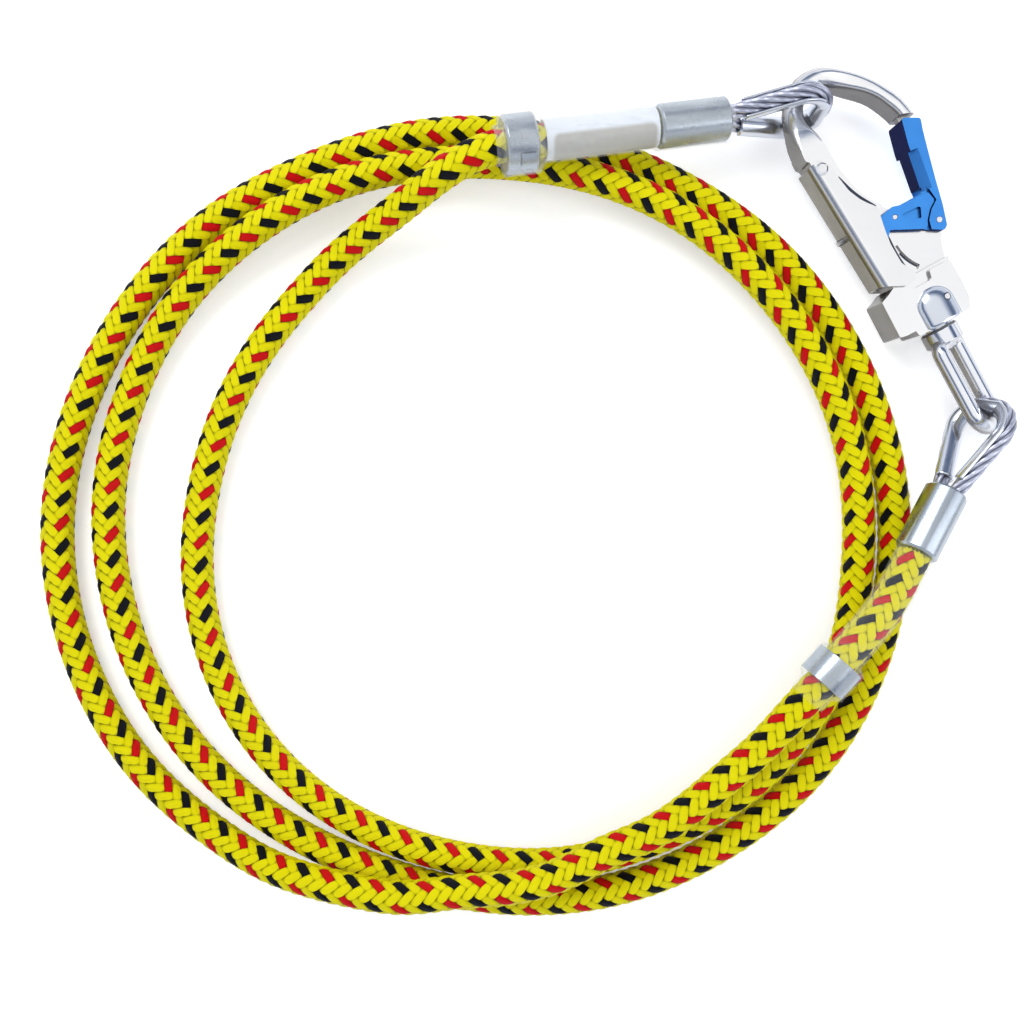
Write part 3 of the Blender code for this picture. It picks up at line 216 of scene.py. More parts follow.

# the metals: colour and roughness, then how far the tone and the roughness drift, how the
# grain is stretched and the colour of the painted shade on upright faces, tinted as a
# reflection of the rope and the ground, where these differ from a plain metal
METALS = {
    "core wire": {"base": (0.55, 0.56, 0.60), "rough": 0.40},
    "bright zinc": {"base": (0.70, 0.73, 0.80), "rough": 0.20, "dirt": 0.12, "scratch": 0.12},
    "satin aluminium": {"base": (0.48, 0.53, 0.58), "rough": 0.28, "dirt": 0.22, "scratch": 0.16},
    "polished aluminium": {"base": (0.92, 0.92, 0.93), "rough": 0.20, "grain": (1.0, 6.0, 1.0),
                           "side_shade": (0.11, 0.10, 0.095)},
    "polished barrel": {"base": (0.72, 0.76, 0.84), "rough": 0.20, "dirt": 0.10, "scratch": 0.06},
    "bright pins": {"base": (0.85, 0.85, 0.87), "rough": 0.16, "scratch": 0.06},
    "stub pins": {"base": (0.85, 0.85, 0.87), "rough": 0.16, "scratch": 0.06},
    "groove shade": {"base": (0.06, 0.07, 0.10), "rough": 0.35},
    "washer zinc": {"base": (0.62, 0.65, 0.70), "rough": 0.25},
    "lever sheet": {"base": (0.90, 0.90, 0.91), "rough": 0.22, "dirt": 0.06,
                    "grain": (1.0, 5.0, 1.0), "side_shade": (0.12, 0.10, 0.06)},
    "stop pin": {"base": (0.45, 0.46, 0.48), "rough": 0.30},
    "swivel steel": {"base": (0.86, 0.88, 0.93), "rough": 0.14, "dirt": 0.06, "scratch": 0.08,
                     "side_shade": (0.20, 0.18, 0.17)},
}
CLEAR_HAZES = {"a": 0.10, "b": 0.03}
WHITE = (1.0, 1.0, 1.0)

# tints of the other paints, the darker one first
# the valley colour is painted shade between the rope's strands
VALLEY_SHADE = (0.035, 0.022, 0.0)
THREAD_TINT = (0.88, 0.86, 0.80)
WIRE_TINTS = ((0.03, 0.03, 0.06), (0.68, 0.70, 0.82))
FILM_TINTS = ((0.80, 0.84, 0.86), (0.95, 0.96, 0.96))
LABEL_TINTS = ((0.74, 0.77, 0.80), (0.86, 0.88, 0.90))
PANEL_TINTS = ((0.44, 0.42, 0.36), (0.53, 0.51, 0.45))
BLUE_SHARES = (0.80, 1.25)
# the dark navy of the blue's sides is painted shade
BLUE_SIDE_SHADE = (0.003, 0.009, 0.075)

# every fourth strand is black and those midway are red; threads and wires are sine waves
TRACER_EVERY = 4.0
THREADS_ACROSS = 62.0
THREADS_ALONG = 3.0
WIRES_ACROSS = 12.0
WIRES_ALONG = 7.5

# faces steeper than this height of their normal count as sides, softly; on the metals and the blue,
# the sides get painted shade
SIDE_LEVEL = 0.93
SIDE_GAIN = 1.8

# the studio; the lamps are given by place and power
CAMERA_SPOT = (-0.1300, -0.0800, 0.430)
FOCAL_SHARE = 1016.6 / 1024
SENSOR_MM = 36.0
CAMERA_NEAR = 0.01
FLOOR_HALF = 12.0
FLOOR_LEVEL = -0.0012
FLOOR_GREY = (0.86, 0.86, 0.86)
FLOOR_GLOW = 0.42
LAMPS = {"key": ((-0.55, 0.60, 0.95), 7.0), "fill": ((0.80, -0.30, 0.80), 3.0)}
LAMP_WIDTH = 0.6
LAMP_AIM = (-0.1, -0.05, 0.0)
SKY_STOPS = ((0.0, (0.66, 0.67, 0.69)), (0.16, (0.74, 0.76, 0.80)), (0.30, (0.85, 0.90, 1.0)),
             (0.44, (0.90, 0.94, 1.0)), (0.54, (0.16, 0.21, 0.33)), (0.70, (0.07, 0.10, 0.18)),
             (0.80, (0.40, 0.47, 0.60)), (0.87, WHITE))
SKY_STRENGTH = 1.05


class LanyardSizes(bpy.types.PropertyGroup):
    """Sizes that a user of the lanyard would change."""
    rope_diameter: bpy.props.FloatProperty(
        name="Rope diameter", description="Across the braided cover", default=0.013,
        subtype="DISTANCE", unit="LENGTH")
    braid_pitch: bpy.props.FloatProperty(
        name="Braid pitch", description="One turn of a strand along the rope", default=0.041,
        subtype="DISTANCE", unit="LENGTH")
    wire_diameter: bpy.props.FloatProperty(
        name="Wire diameter", description="Across the stranded wire", default=0.0063,
        subtype="DISTANCE", unit="LENGTH")
    wire_lay: bpy.props.FloatProperty(
        name="Wire lay", description="One turn of a wire strand", default=0.046,
        subtype="DISTANCE", unit="LENGTH")
    edge: bpy.props.FloatProperty(
        name="Edge break", description="Width of the rounded edges on the hook",
        default=0.00035, subtype="DISTANCE", unit="LENGTH")


class LanyardColours(bpy.types.PropertyGroup):
    """Colours that a user of the lanyard would change."""
    yellow: bpy.props.FloatVectorProperty(
        name="Rope yellow", description="Main strands", default=(1.0, 0.90, 0.0),
        subtype="COLOR", size=3)
    red: bpy.props.FloatVectorProperty(
        name="Tracer red", description="Every fourth leaning strand", default=(0.72, 0.004, 0.006),
        subtype="COLOR", size=3)
    black: bpy.props.FloatVectorProperty(
        name="Tracer black", description="Every fourth leaning strand",
        default=(0.004, 0.005, 0.009), subtype="COLOR", size=3)
    blue: bpy.props.FloatVectorProperty(
        name="Gate blue", description="Anodised gate and trigger", default=(0.070, 0.320, 0.90),
        subtype="COLOR", size=3)


class Wire:
    """A shader socket that stands for a number in sums and products."""

    def __init__(self, nodes, socket):
        self.nodes = nodes
        self.socket = socket

    def _do(self, operation, *values):
        return self.nodes.node("ShaderNodeMath", {"operation": operation}, dict(enumerate(values)))

    def __add__(self, other):
        return self._do("ADD", self, other)

    __radd__ = __add__

    def __sub__(self, other):
        return self._do("SUBTRACT", self, other)

    def __rsub__(self, other):
        return self._do("SUBTRACT", other, self)

    def __mul__(self, other):
        return self._do("MULTIPLY", self, other)

    __rmul__ = __mul__

    def __lt__(self, other):
        return self._do("LESS_THAN", self, other)

    def __gt__(self, other):
        return self._do("GREATER_THAN", self, other)

    def __abs__(self):
        return self._do("ABSOLUTE", self)

    def floor(self):
        return self._do("FLOOR", self)

    def fract(self):
        return self._do("FRACT", self)

    def wrap(self, span):
        """The remainder that is never negative."""
        return self._do("FLOORED_MODULO", self, span)

    def cos(self):
        return self._do("COSINE", self)

    def sin(self):
        return self._do("SINE", self)

    def root(self):
        return self._do("SQRT", self)

    def power(self, exponent):
        return self._do("POWER", self, exponent)

    def most(self, other):
        return self._do("MAXIMUM", self, other)

    def least(self, other):
        return self._do("MINIMUM", self, other)

    def clamp(self):
        return self.most(0.0).least(1.0)


class Nodes:
    """A node tree whose nodes all come from one method."""

    def __init__(self, tree):
        self.tree = tree

    def fill(self, target, value):
        """Link a socket, or set it to a number, a vector or a colour."""
        if isinstance(value, Wire):
            self.tree.links.new(value.socket, target)
        elif target.type == "RGBA":
            target.default_value = (*value, 1.0)
        else:
            target.default_value = value

    def node(self, kind, settings=None, inputs=None, output=0):
        """Add a node, set what it needs first, then fill or link its sockets."""
        made = self.tree.nodes.new(kind)
        for key, value in (settings or {}).items():
            if key == "stops":
                set_stops(made.color_ramp, value)
            else:
                setattr(made, key, value)
        for key, value in (inputs or {}).items():
            self.fill(made.inputs[key], value)
        return Wire(self, made.outputs[output])

    def split(self, vector):
        """The three numbers of a vector."""
        first = self.node("ShaderNodeSeparateXYZ", None, {0: vector})
        return [Wire(self, socket) for socket in first.socket.node.outputs]

    def mix(self, share, first, second, blend="MIX"):
        """A colour between two colours, or towards their product where the blend says so."""
        return self.node("ShaderNodeMix", {"data_type": "RGBA", "blend_type": blend},
                         {0: share, 6: first, 7: second}, 2)

    def noise(self, vector, scale, detail=2.0, stretch=None):
        """Noise from zero to one, with its place stretched if asked."""
        if stretch:
            vector = self.node("ShaderNodeVectorMath", {"operation": "MULTIPLY"},
                               {0: vector, 1: stretch})
        return self.node("ShaderNodeTexNoise", None,
                         {"Vector": vector, "Scale": scale, "Detail": detail})

    def place(self):
        """Where a point lies on the object."""
        return self.node("ShaderNodeTexCoord", output="Object")

    def around(self):
        """The piece's own UV map as two numbers."""
        return self.split(self.node("ShaderNodeTexCoord", output="UV"))[:2]

    def side(self):
        """One on faces that stand upright on the object, zero on level ones."""
        level = self.split(self.node("ShaderNodeTexCoord", output="Normal"))[2]
        return ((SIDE_LEVEL - abs(level)) * SIDE_GAIN).clamp()


class Paint(Nodes):
    """A material whose shader's sockets are set or linked by name."""

    def __init__(self, name, **settings):
        self.material = bpy.data.materials.new(name)
        self.material.use_nodes = True
        super().__init__(self.material.node_tree)
        self.shader = self.tree.nodes["Principled BSDF"]
        for socket, value in settings.items():
            self.set(socket.replace("_", " ").title(), value)

    def set(self, socket, value):
        """Set or link one socket of the shader."""
        self.fill(self.shader.inputs[socket], value)

    def bump(self, height, distance, strength=1.0, inwards=False):
        """A bump that feeds the shader's normal, with its heights taken as depths if inwards."""
        self.set("Normal", self.node("ShaderNodeBump", {"invert": inwards}, {
            "Strength": strength, "Distance": distance, "Height": height}))


def set_stops(ramp, stops):
    """Give a colour ramp its places and colours, with soft steps between them."""
    ramp.interpolation = "EASE"
    while len(ramp.elements) > 1:
        ramp.elements.remove(ramp.elements[-1])
    ramp.elements[0].position = stops[0][0]
    ramp.elements[0].color = (*stops[0][1], 1.0)
    for place, tint in stops[1:]:
        ramp.elements.new(place).color = (*tint, 1.0)


def colour(name):
    """A colour of the panel as a plain tuple."""
    return tuple(getattr(bpy.context.scene.lanyard_colours, name))


def size(name):
    """A size of the panel."""
    return getattr(bpy.context.scene.lanyard_sizes, name)


def scaled(tint, share):
    """A colour made darker or lighter, with no part above one."""
    return tuple(min(1.0, share * value) for value in tint)


def braid_paint():
    """Braid colours and threads from the rope's UV map: u once around, v in pitches.

    A leaning strand keeps a = 8(u + v) and its mate keeps b = 8(v - u). A strand is on top
    where its wave over four cells beats the other's, and the crown across it is half a circle.
    Threads run along each strand, and the valleys between strands are painted darker as shade. The
    bump is taken inwards, which softens the mesh's own relief."""
    paint = Paint("braided rope", roughness=0.5)
    paint.set("Specular IOR Level", 0.12)
    u, v = paint.around()
    place = paint.place()
    a = (u + v) * (STRANDS / 2)
    b = (v - u) * (STRANDS / 2)
    i, j = a.floor(), b.floor()
    across_a, across_b = a - i, b - j
    wave_a = ((b - i - 1.0) * (math.pi / 2)).cos()
    wave_b = ((a - j - 2.0) * (math.pi / 2)).cos()
    crown_a = (1.0 - (across_a * 2.0 - 1.0).power(2.0)).most(0.0).root()
    crown_b = (1.0 - (across_b * 2.0 - 1.0).power(2.0)).most(0.0).root()
    high_a = wave_a * WAVE + crown_a
    high_b = wave_b * WAVE + crown_b
    top = high_a > high_b
    height = high_a.most(high_b)
    kind = i.wrap(TRACER_EVERY)
    black = (kind < 0.5) * top
    red = (abs(kind - TRACER_EVERY / 2) < 0.5) * top
    threads_a = (across_a * THREADS_ACROSS + b * THREADS_ALONG).sin()
    threads_b = (across_b * THREADS_ACROSS - a * THREADS_ALONG).sin()
    threads = threads_a * top + threads_b * (1.0 - top)
    fuzz = paint.noise(place, scale=900.0, detail=3.0)
    tone = paint.noise(place, scale=45.0, detail=3.0)
    yellow = paint.mix(tone, scaled(colour("yellow"), 0.90), colour("yellow"))
    base = paint.mix(black, paint.mix(red, yellow, colour("red")), colour("black"))
    # painted shade: the colour darkens towards the valleys between strands
    shade = paint.mix((height * 1.05 - 0.20).clamp(), VALLEY_SHADE, WHITE)
    base = paint.mix(0.95, base, shade, "MULTIPLY")
    grain = paint.mix(threads * 0.5 + 0.5, THREAD_TINT, WHITE)
    paint.set("Base Color", paint.mix(0.6, base, grain, "MULTIPLY"))
    paint.set("Roughness", 0.42 + fuzz * 0.22)
    paint.bump(height * 0.75 + threads * 0.05 + fuzz * 0.08, distance=0.0013, inwards=True)
    return paint.material


def metal_paint(name, base, rough, dirt=0.05, scratch=0.10, grain=None, side_shade=None):
    """A metal whose roughness and tone drift, with fine scratches along one way.

    The side shade colour, if any, is painted shade on the faces that stand upright, tinted as a
    reflection of the rope and the ground, and these faces are made less metallic."""
    paint = Paint(name, metallic=1.0)
    place = paint.place()
    cloud = paint.noise(place, scale=55.0, detail=3.0)
    lines = paint.noise(place, scale=160.0, detail=4.0, stretch=grain)
    tone = paint.mix((cloud - 0.35) * 1.6, scaled(base, 1 - dirt), base)
    # painted shade and reflection: upright faces take a dark tinted colour and lose some of their
    # metal
    if side_shade:
        side = paint.side() * (0.75 + cloud * 0.25)
        tone = paint.mix(side, tone, side_shade)
        paint.set("Metallic", 1.0 - side * 0.6)
    paint.set("Base Color", tone)
    paint.set("Roughness", (rough + (lines - 0.5) * scratch + (cloud - 0.5) * scratch).clamp())
    paint.bump(lines, distance=0.00002, strength=0.5)
    return paint.material


def metal(name):
    """One of the metals of the table."""
    return metal_paint(name, **METALS[name])


def wire_paint():
    """Galvanised strands: fine wires wound in each strand, painted darker in the valleys as shade.

    u runs once around the strand bundle and v counts wire diameters along it."""
    paint = Paint("galvanised strands", metallic=1.0)
    u, v = paint.around()
    turn = (u * float(WIRE_STRANDS)).fract()
    valley = (abs(turn - 0.5) * 2.0).power(3.0)
    wires = (turn * WIRES_ACROSS + v * WIRES_ALONG).sin()
    cloud = paint.noise(paint.place(), scale=220.0, detail=3.0)
    # painted shade: the colour darkens towards the valleys between the strands
    bright = (1.0 - valley) * (0.78 + wires * 0.10 + (cloud - 0.5) * 0.3)
    paint.set("Base Color", paint.mix(bright.clamp(), *WIRE_TINTS))
    paint.set("Roughness", 0.38 + (cloud - 0.5) * 0.2 + valley * 0.2)
    paint.bump(wires * (1.0 - valley), distance=0.00006, strength=0.6, inwards=True)
    return paint.material


def clear_paint(name, haze):
    """Clear shrink film: glossy, a little milky, with frosted streaks along it."""
    paint = Paint(name)
    place = paint.place()
    cloud = paint.noise(place, scale=90.0, detail=3.0)
    ripples = paint.noise(place, scale=240.0, detail=2.0)
    drawn = paint.noise(place, scale=150.0, detail=3.0, stretch=(0.35, 1.6, 1.0))
    streaks = ((drawn - 0.54) * 5.0).clamp()
    paint.set("Base Color", paint.mix(cloud, *FILM_TINTS))
    rim = paint.node("ShaderNodeLayerWeight", None, {"Blend": 0.3}, "Facing")
    paint.set("Alpha", (haze * 0.5 + cloud * haze * 0.7 + streaks * haze + rim * 0.12).clamp())
    paint.set("Roughness", 0.10 + ripples * 0.16)
    paint.bump(ripples, distance=0.0004, strength=0.8)
    return paint.material


def label_paint():
    """A bare white label with a soft grey-beige panel of rounded corners.

    u runs once around and v from end to end, and both are taken in millimetres here. The
    distance to the panel is that to a box less its corner's radius."""
    paint = Paint("white label")
    u, v = paint.around()
    turn, share = PANEL_MIDDLE
    across = (0.5 - abs((u - turn).wrap(1.0) - 0.5)) * LABEL_AROUND - PANEL_HALF[0]
    along = abs(v - share) * LABEL_LENGTH - PANEL_HALF[1]
    far_x, far_y = across.most(0.0), along.most(0.0)
    past = (far_x * far_x + far_y * far_y).root() + across.most(along).least(0.0)
    inside = (0.5 - (past - PANEL_CORNER) * PANEL_SOFT).clamp()
    grain = paint.noise(paint.place(), scale=400.0, detail=3.0)
    panel = paint.mix(grain, *PANEL_TINTS)
    paper = paint.mix(grain, *LABEL_TINTS)
    paint.set("Base Color", paint.mix(inside, paper, panel))
    paint.set("Roughness", 0.35 + grain * 0.2)
    paint.bump(grain, distance=0.00004, strength=0.5)
    return paint.material


def blue_paint():
    """Blue anodised aluminium with a fine matt grain, with painted shade in dark navy on its sides.
    """
    paint = Paint("blue anodised")
    place = paint.place()
    cloud = paint.noise(place, scale=70.0, detail=3.0)
    grain = paint.noise(place, scale=1500.0, detail=3.0)
    side = paint.side()
    tone = paint.mix(cloud, *(scaled(colour("blue"), share) for share in BLUE_SHARES))
    paint.set("Specular IOR Level", 0.05)
    # painted shade: the sides are painted dark navy, less metallic and rougher
    paint.set("Base Color", paint.mix(side, tone, BLUE_SIDE_SHADE))
    paint.set("Metallic", 1.0 - side * 0.9)
    paint.set("Roughness", 0.28 + grain * 0.14 + side * 0.25)
    paint.bump(grain, distance=0.00003, strength=0.6)
    return paint.material


def floor_paint():
    """A pale floor that the camera and mirrors see as white and that keeps soft shadows."""
    paint = Paint("pale floor", roughness=0.9)
    paint.set("Specular IOR Level", 0.0)
    paint.set("Base Color", FLOOR_GREY)
    camera, glossy, through = (
        paint.node("ShaderNodeLightPath", output="Is %s Ray" % kind)
        for kind in ("Camera", "Glossy", "Transmission"))
    paint.set("Emission Color", WHITE)
    paint.set("Emission Strength", camera.most(glossy).most(through) * FLOOR_GLOW)
    return paint.material


def paint_world(world):
    """A studio dome: white overhead, a dark blue-grey ring below it, then pale to the horizon."""
    sky = Nodes(world.node_tree)
    height = sky.split(sky.node("ShaderNodeTexCoord", output="Generated"))[2]
    tint = sky.node("ShaderNodeValToRGB", {"stops": SKY_STOPS}, {0: height})
    back = world.node_tree.nodes["Background"]
    sky.fill(back.inputs["Color"], tint)
    back.inputs["Strength"].default_value = SKY_STRENGTH


def shapes_from(name, points, blocks, uvs=None):
    """A smooth mesh object at the origin from points, blocks of like faces and their UVs."""
    mesh = bpy.data.meshes.new(name)
    mesh.vertices.add(len(points))
    mesh.vertices.foreach_set("co", np.asarray(points, float).ravel())
    sizes = np.concatenate([np.full(len(block), block.shape[1]) for block in blocks])
    mesh.loops.add(int(sizes.sum()))
    mesh.loops.foreach_set("vertex_index", np.concatenate([block.ravel() for block in blocks]))
    mesh.polygons.add(len(sizes))
    mesh.polygons.foreach_set("loop_start", (np.cumsum(sizes) - sizes).astype(np.int32))
    mesh.polygons.foreach_set("loop_total", sizes.astype(np.int32))
    mesh.polygons.foreach_set("use_smooth", np.ones(len(sizes), bool))
    if uvs is not None:
        layer = mesh.uv_layers.new(name="UVMap")
        layer.data.foreach_set("uv", uvs.ravel())
    mesh.update(calc_edges=True)
    mesh.validate()
    item = bpy.data.objects.new(name, mesh)
    bpy.context.scene.collection.objects.link(item)
    return item


def outward(item, sharp=None):
    """Turn a closed mesh's faces outwards, and keep its edges sharp past an angle if asked."""
    data = bmesh.new()
    data.from_mesh(item.data)
    bmesh.ops.recalc_face_normals(data, faces=data.faces)
    data.to_mesh(item.data)
    data.free()
    if sharp:
        item.data.set_sharp_from_angle(angle=math.radians(sharp))
    return item


def break_edges(item, width, angle):
    """Round an object's edges past an angle with a narrow bevel."""
    bevel = item.modifiers.new("edges", "BEVEL")
    bevel.width = width
    bevel.segments = EDGE_SEGMENTS
    bevel.limit_method = "ANGLE"
    bevel.angle_limit = math.radians(angle)


def fitting_frame(fitting):
    """X along the fitting to its eye, Y across the eye and Z square to it, as a 4 by 4."""
    face, heading, slope, roll = fitting
    heading, slope, roll = (math.radians(value) for value in (heading, slope, roll))
    along = Vector((math.cos(heading) * math.cos(slope), math.sin(heading) * math.cos(slope),
                    math.sin(slope)))
    left = Vector((-math.sin(heading), math.cos(heading), 0.0))
    across = math.cos(roll) * left + math.sin(roll) * along.cross(left)
    rotation = Matrix((along, across, along.cross(across))).transposed().to_4x4()
    return Matrix.Translation(face) @ rotation


def hook_place():
    """X towards the gate, Y towards the bow, Z off the hook's middle plane."""
    turn = Matrix.Rotation(math.radians(HOOK_TURN), 4, "Z")
    return Matrix.Translation(HOOK_SEAT) @ turn @ Matrix.Rotation(math.radians(HOOK_TILT), 4, "X")


def carried(matrix, points):
    """Points moved by a 4 by 4 matrix, as one list of points."""
    whole = np.array(matrix)
    return np.reshape(points, (-1, 3)) @ whole[:3, :3].T + whole[:3, 3]


def circle(angles):
    """Points of the unit circle at these angles."""
    return np.stack([np.cos(angles), np.sin(angles)], -1)


def turns(places):
    """Even angles once around."""
    return 2 * math.pi * np.arange(places) / places


def lengths(line):
    """The distance along a line of points at each of them."""
    return np.concatenate([[0], np.cumsum(np.linalg.norm(np.diff(line, axis=0), axis=1))])


def directions(line):
    """The unit direction of a line at each of its points."""
    ahead = np.gradient(line, axis=0)
    return ahead / np.linalg.norm(ahead, axis=1)[:, None]


def read_line(line, reads):
    """The points of a line at these distances along it."""
    far = lengths(line)
    return np.stack([np.interp(reads, far, column) for column in line.T], 1)


def smooth_line(nodes, count):
    """A natural cubic curve through the nodes, read at even distances along it.

    The second slopes solve the usual three-banded system with free ends."""
    nodes = np.array(nodes, float)
    steps = np.linalg.norm(np.diff(nodes, axis=0), axis=1)
    along = lengths(nodes)
    total = len(nodes)
    matrix = np.zeros((total, total))
    right = np.zeros((total, 3))
    matrix[[0, -1], [0, -1]] = 1
    inner = np.arange(1, total - 1)
    matrix[inner, inner - 1] = steps[:-1]
    matrix[inner, inner] = 2 * (steps[:-1] + steps[1:])
    matrix[inner, inner + 1] = steps[1:]
    right[1:-1] = 6 * np.diff(np.diff(nodes, axis=0) / steps[:, None], axis=0)
    bend = np.linalg.solve(matrix, right)
    reads = np.linspace(0, along[-1], CURVE_READS)
    cell = np.clip(np.searchsorted(along, reads) - 1, 0, total - 2)
    ahead = (reads - along[cell])[:, None]
    behind = (along[cell + 1] - reads)[:, None]
    step = steps[cell][:, None]
    line = (bend[cell] * behind**3 + bend[cell + 1] * ahead**3) / (6 * step)
    line = line + (nodes[cell] / step - bend[cell] * step / 6) * behind
    line = line + (nodes[cell + 1] / step - bend[cell + 1] * step / 6) * ahead
    whole = lengths(line)[-1]
    return read_line(line, np.linspace(0, whole, count)), whole


def fan(middle, ring):
    """Triangles between a middle point and a closed ring."""
    return np.stack([np.full(len(ring), middle), ring, np.roll(ring, -1)], 1)


def fan_uvs(places, v):
    """UVs of a fan: each triangle has one u around and the same v."""
    return np.repeat(np.stack([np.arange(places) / places, np.full(places, v)], 1), 3, axis=0)


def ring_quads(rings, places, joined=False):
    """Quads between neighbouring rings of points, and between the last and first if joined.

    The row and the place of each quad come with them."""
    row, place = np.divmod(np.arange((rings if joined else rings - 1) * places), places)
    after, below = (place + 1) % places, (row + 1) % rings
    quads = np.stack([row * places + place, row * places + after, below * places + after,
                      below * places + place], 1)
    return quads, row, place


def ring_uvs(row, place, places, along):
    """UVs of those quads: u runs once around, v is what along says at each ring."""
    us = np.stack([place, place + 1, place + 1, place], 1) / places
    after = along[(row + 1) % len(along)]
    vs = np.stack([along[row], along[row], after, after], 1)
    return np.stack([us, vs], 2).reshape(-1, 2)


def rope_nodes():
    """The rope's nodes: straight out of the first sleeve, round the coil, into the second."""
    first = fitting_frame(FITTING_A)
    second = fitting_frame(FITTING_B)
    nodes = [tuple(first @ Vector((-back, 0, 0))) for back in AXIS_A]
    nodes += ROUTE
    nodes += [tuple(second @ Vector((-back, 0, 0))) for back in AXIS_B]
    return nodes


def braid_mesh(name):
    """The braid as a lattice whose edges follow both families of strands.

    Row k lies k/48 of a pitch along and holds every second of 48 places around, so that
    a = (k + m) / 6 and b = (k - m) / 6 are whole on the borders between strands. The radius
    is a base plus the higher of the two strands' waves and crowns."""
    turn = STRANDS * STRAND_STEPS
    half = turn // 2
    nodes = rope_nodes()
    _, length = smooth_line(nodes, LENGTH_READS)
    rows = int(round(length / size("braid_pitch") * turn)) + 1
    line, length = smooth_line(nodes, rows)
    ahead = directions(line)
    left = np.cross([0.0, 0.0, 1.0], ahead)
    left /= np.linalg.norm(left, axis=1)[:, None]
    above = np.cross(ahead, left)
    k = np.repeat(np.arange(rows), half)
    m = np.tile(np.arange(half) * 2, rows) + k % 2
    a, b = (k + m) / (2 * STRAND_STEPS), (k - m) / (2 * STRAND_STEPS)
    i, j = np.floor(a + FLOOR_NUDGE), np.floor(b + FLOOR_NUDGE)
    wave_a = np.cos((b - i - 1) * math.pi / 2)
    wave_b = np.cos((a - j - 2) * math.pi / 2)
    crown_a = np.sqrt(np.maximum(0, 1 - (2 * (a - i) - 1) ** 2))
    crown_b = np.sqrt(np.maximum(0, 1 - (2 * (b - j) - 1) ** 2))
    height = np.maximum(WAVE * wave_a + crown_a, WAVE * wave_b + crown_b)
    radius = size("rope_diameter") / 2 + RELIEF * (height - MIDDLE_HEIGHT)
    drift = math.radians(BRAID_DRIFT) * np.sin(2 * math.pi * k / rows * BRAID_DRIFTS)
    angle = math.radians(BRAID_TURN) + drift - 2 * math.pi * m / turn
    around = left[k] * np.cos(angle)[:, None] + above[k] * np.sin(angle)[:, None]
    points = line[k] + around * radius[:, None]

    def index(places, at):
        return at * half + ((places - at % 2) // 2) % half

    row = np.repeat(np.arange(rows - 2), half)
    place = np.tile(np.arange(half) * 2, rows - 2) + row % 2
    blocks = [np.stack([index(place, row), index(place + 1, row + 1), index(place, row + 2),
                        index(place - 1, row + 1)], 1)]
    us = np.stack([place, place + 1, place, place - 1], 1) / turn
    vs = np.stack([row, row + 1, row + 2, row + 1], 1) / turn
    uvs = [np.stack([us, vs], 2).reshape(-1, 2)]
    steps = np.arange(turn)
    for middle, rim, inner in ((rows * half, 0, 1), (rows * half + 1, rows - 1, rows - 2)):
        ring = index(steps, np.where((steps - rim) % 2 == 0, rim, inner))
        blocks.append(fan(middle, ring))
        uvs.append(fan_uvs(turn, rim / turn))
    item = outward(shapes_from(name, np.vstack([points, line[0], line[-1]]), blocks,
                               np.vstack(uvs)))
    item.data.materials.append(braid_paint())
    return item, line, length


def eye_path(letter, start, step):
    """The eye's centre line in its own plane at even steps, and the way to its outside.

    Two legs at the root lean out until they touch a circle, whose lean settles by repeating."""
    bend = EYE_BENDS[letter]
    lean = 0.0
    for _ in range(LEAN_TRIES):
        lean = math.asin((bend - EYE_ROOT * math.cos(lean)) / EYE_REACH)
    arc = circle(np.linspace(-math.pi / 2 - lean, math.pi / 2 + lean, ARC_STEPS)) * bend
    low = np.array([[-start, -EYE_ROOT], [-EYE_EASE, -EYE_ROOT],
                    [EYE_EASE, -EYE_ROOT - EYE_FLARE]])
    flat = np.vstack([low, arc + [EYE_REACH, 0], low[::-1] * [1, -1]])
    reads = np.arange(0, lengths(flat)[-1], step)
    line = read_line(flat, reads)
    ahead = directions(line)
    return line, np.stack([ahead[:, 1], -ahead[:, 0]], 1), reads


def solid(flat):
    """Flat points as points in space."""
    return np.column_stack([flat, np.zeros(len(flat))])


def swept(fitting, line, outside, out, up):
    """A section carried along a line in the fitting's plane, as rings by places by three.

    out and up are each section point's distances to the line's outside and off the plane."""
    matrix = fitting_frame(fitting)
    spin = np.array(matrix)[:3, :3]
    centre = carried(matrix, solid(line))
    side = solid(outside) @ spin.T
    return (centre[:, None] + side[:, None] * np.expand_dims(out, -1) +
            spin[:, 2] * np.expand_dims(up, -1)), centre


def strand_mesh(name, letter, fitting):
    """A wire eye of six strands wound round a core.

    Each ring is the outline of six circles of a third of the radius, turned along the lay,
    and u is turned back with it so that it stays with the strands."""
    line, outside, reads = eye_path(letter, WIRE_TUCK, WIRE_STEP)
    wide = size("wire_diameter") / 2
    lay = size("wire_lay")
    angle = turns(WIRE_PLACES)
    apart = 2 * math.pi / WIRE_STRANDS
    turned = (angle + (2 * math.pi * reads / lay)[:, None]) % apart - apart / 2
    middle, strand = wide * 2 / 3, wide / 3
    reach = np.maximum(strand**2 - (middle * np.sin(turned)) ** 2, 0)
    radius = middle * np.cos(turned) + np.sqrt(reach)
    points, centre = swept(fitting, line, outside, radius * np.cos(angle), radius * np.sin(angle))
    rings = len(line)
    quads, row, place = ring_quads(rings, WIRE_PLACES)
    along = reads / (2 * wide)
    ring = np.arange(WIRE_PLACES)
    blocks = [quads, fan(rings * WIRE_PLACES, ring),
              fan(rings * WIRE_PLACES + 1, ring + (rings - 1) * WIRE_PLACES)]
    uvs = np.vstack([ring_uvs(row, place, WIRE_PLACES, along), fan_uvs(WIRE_PLACES, 0.0),
                     fan_uvs(WIRE_PLACES, along[-1])])
    uvs[:, 0] += uvs[:, 1] * 2 * wide / lay
    points = np.vstack([points.reshape(-1, 3), centre[0], centre[-1]])
    return outward(shapes_from(name, points, blocks, uvs))


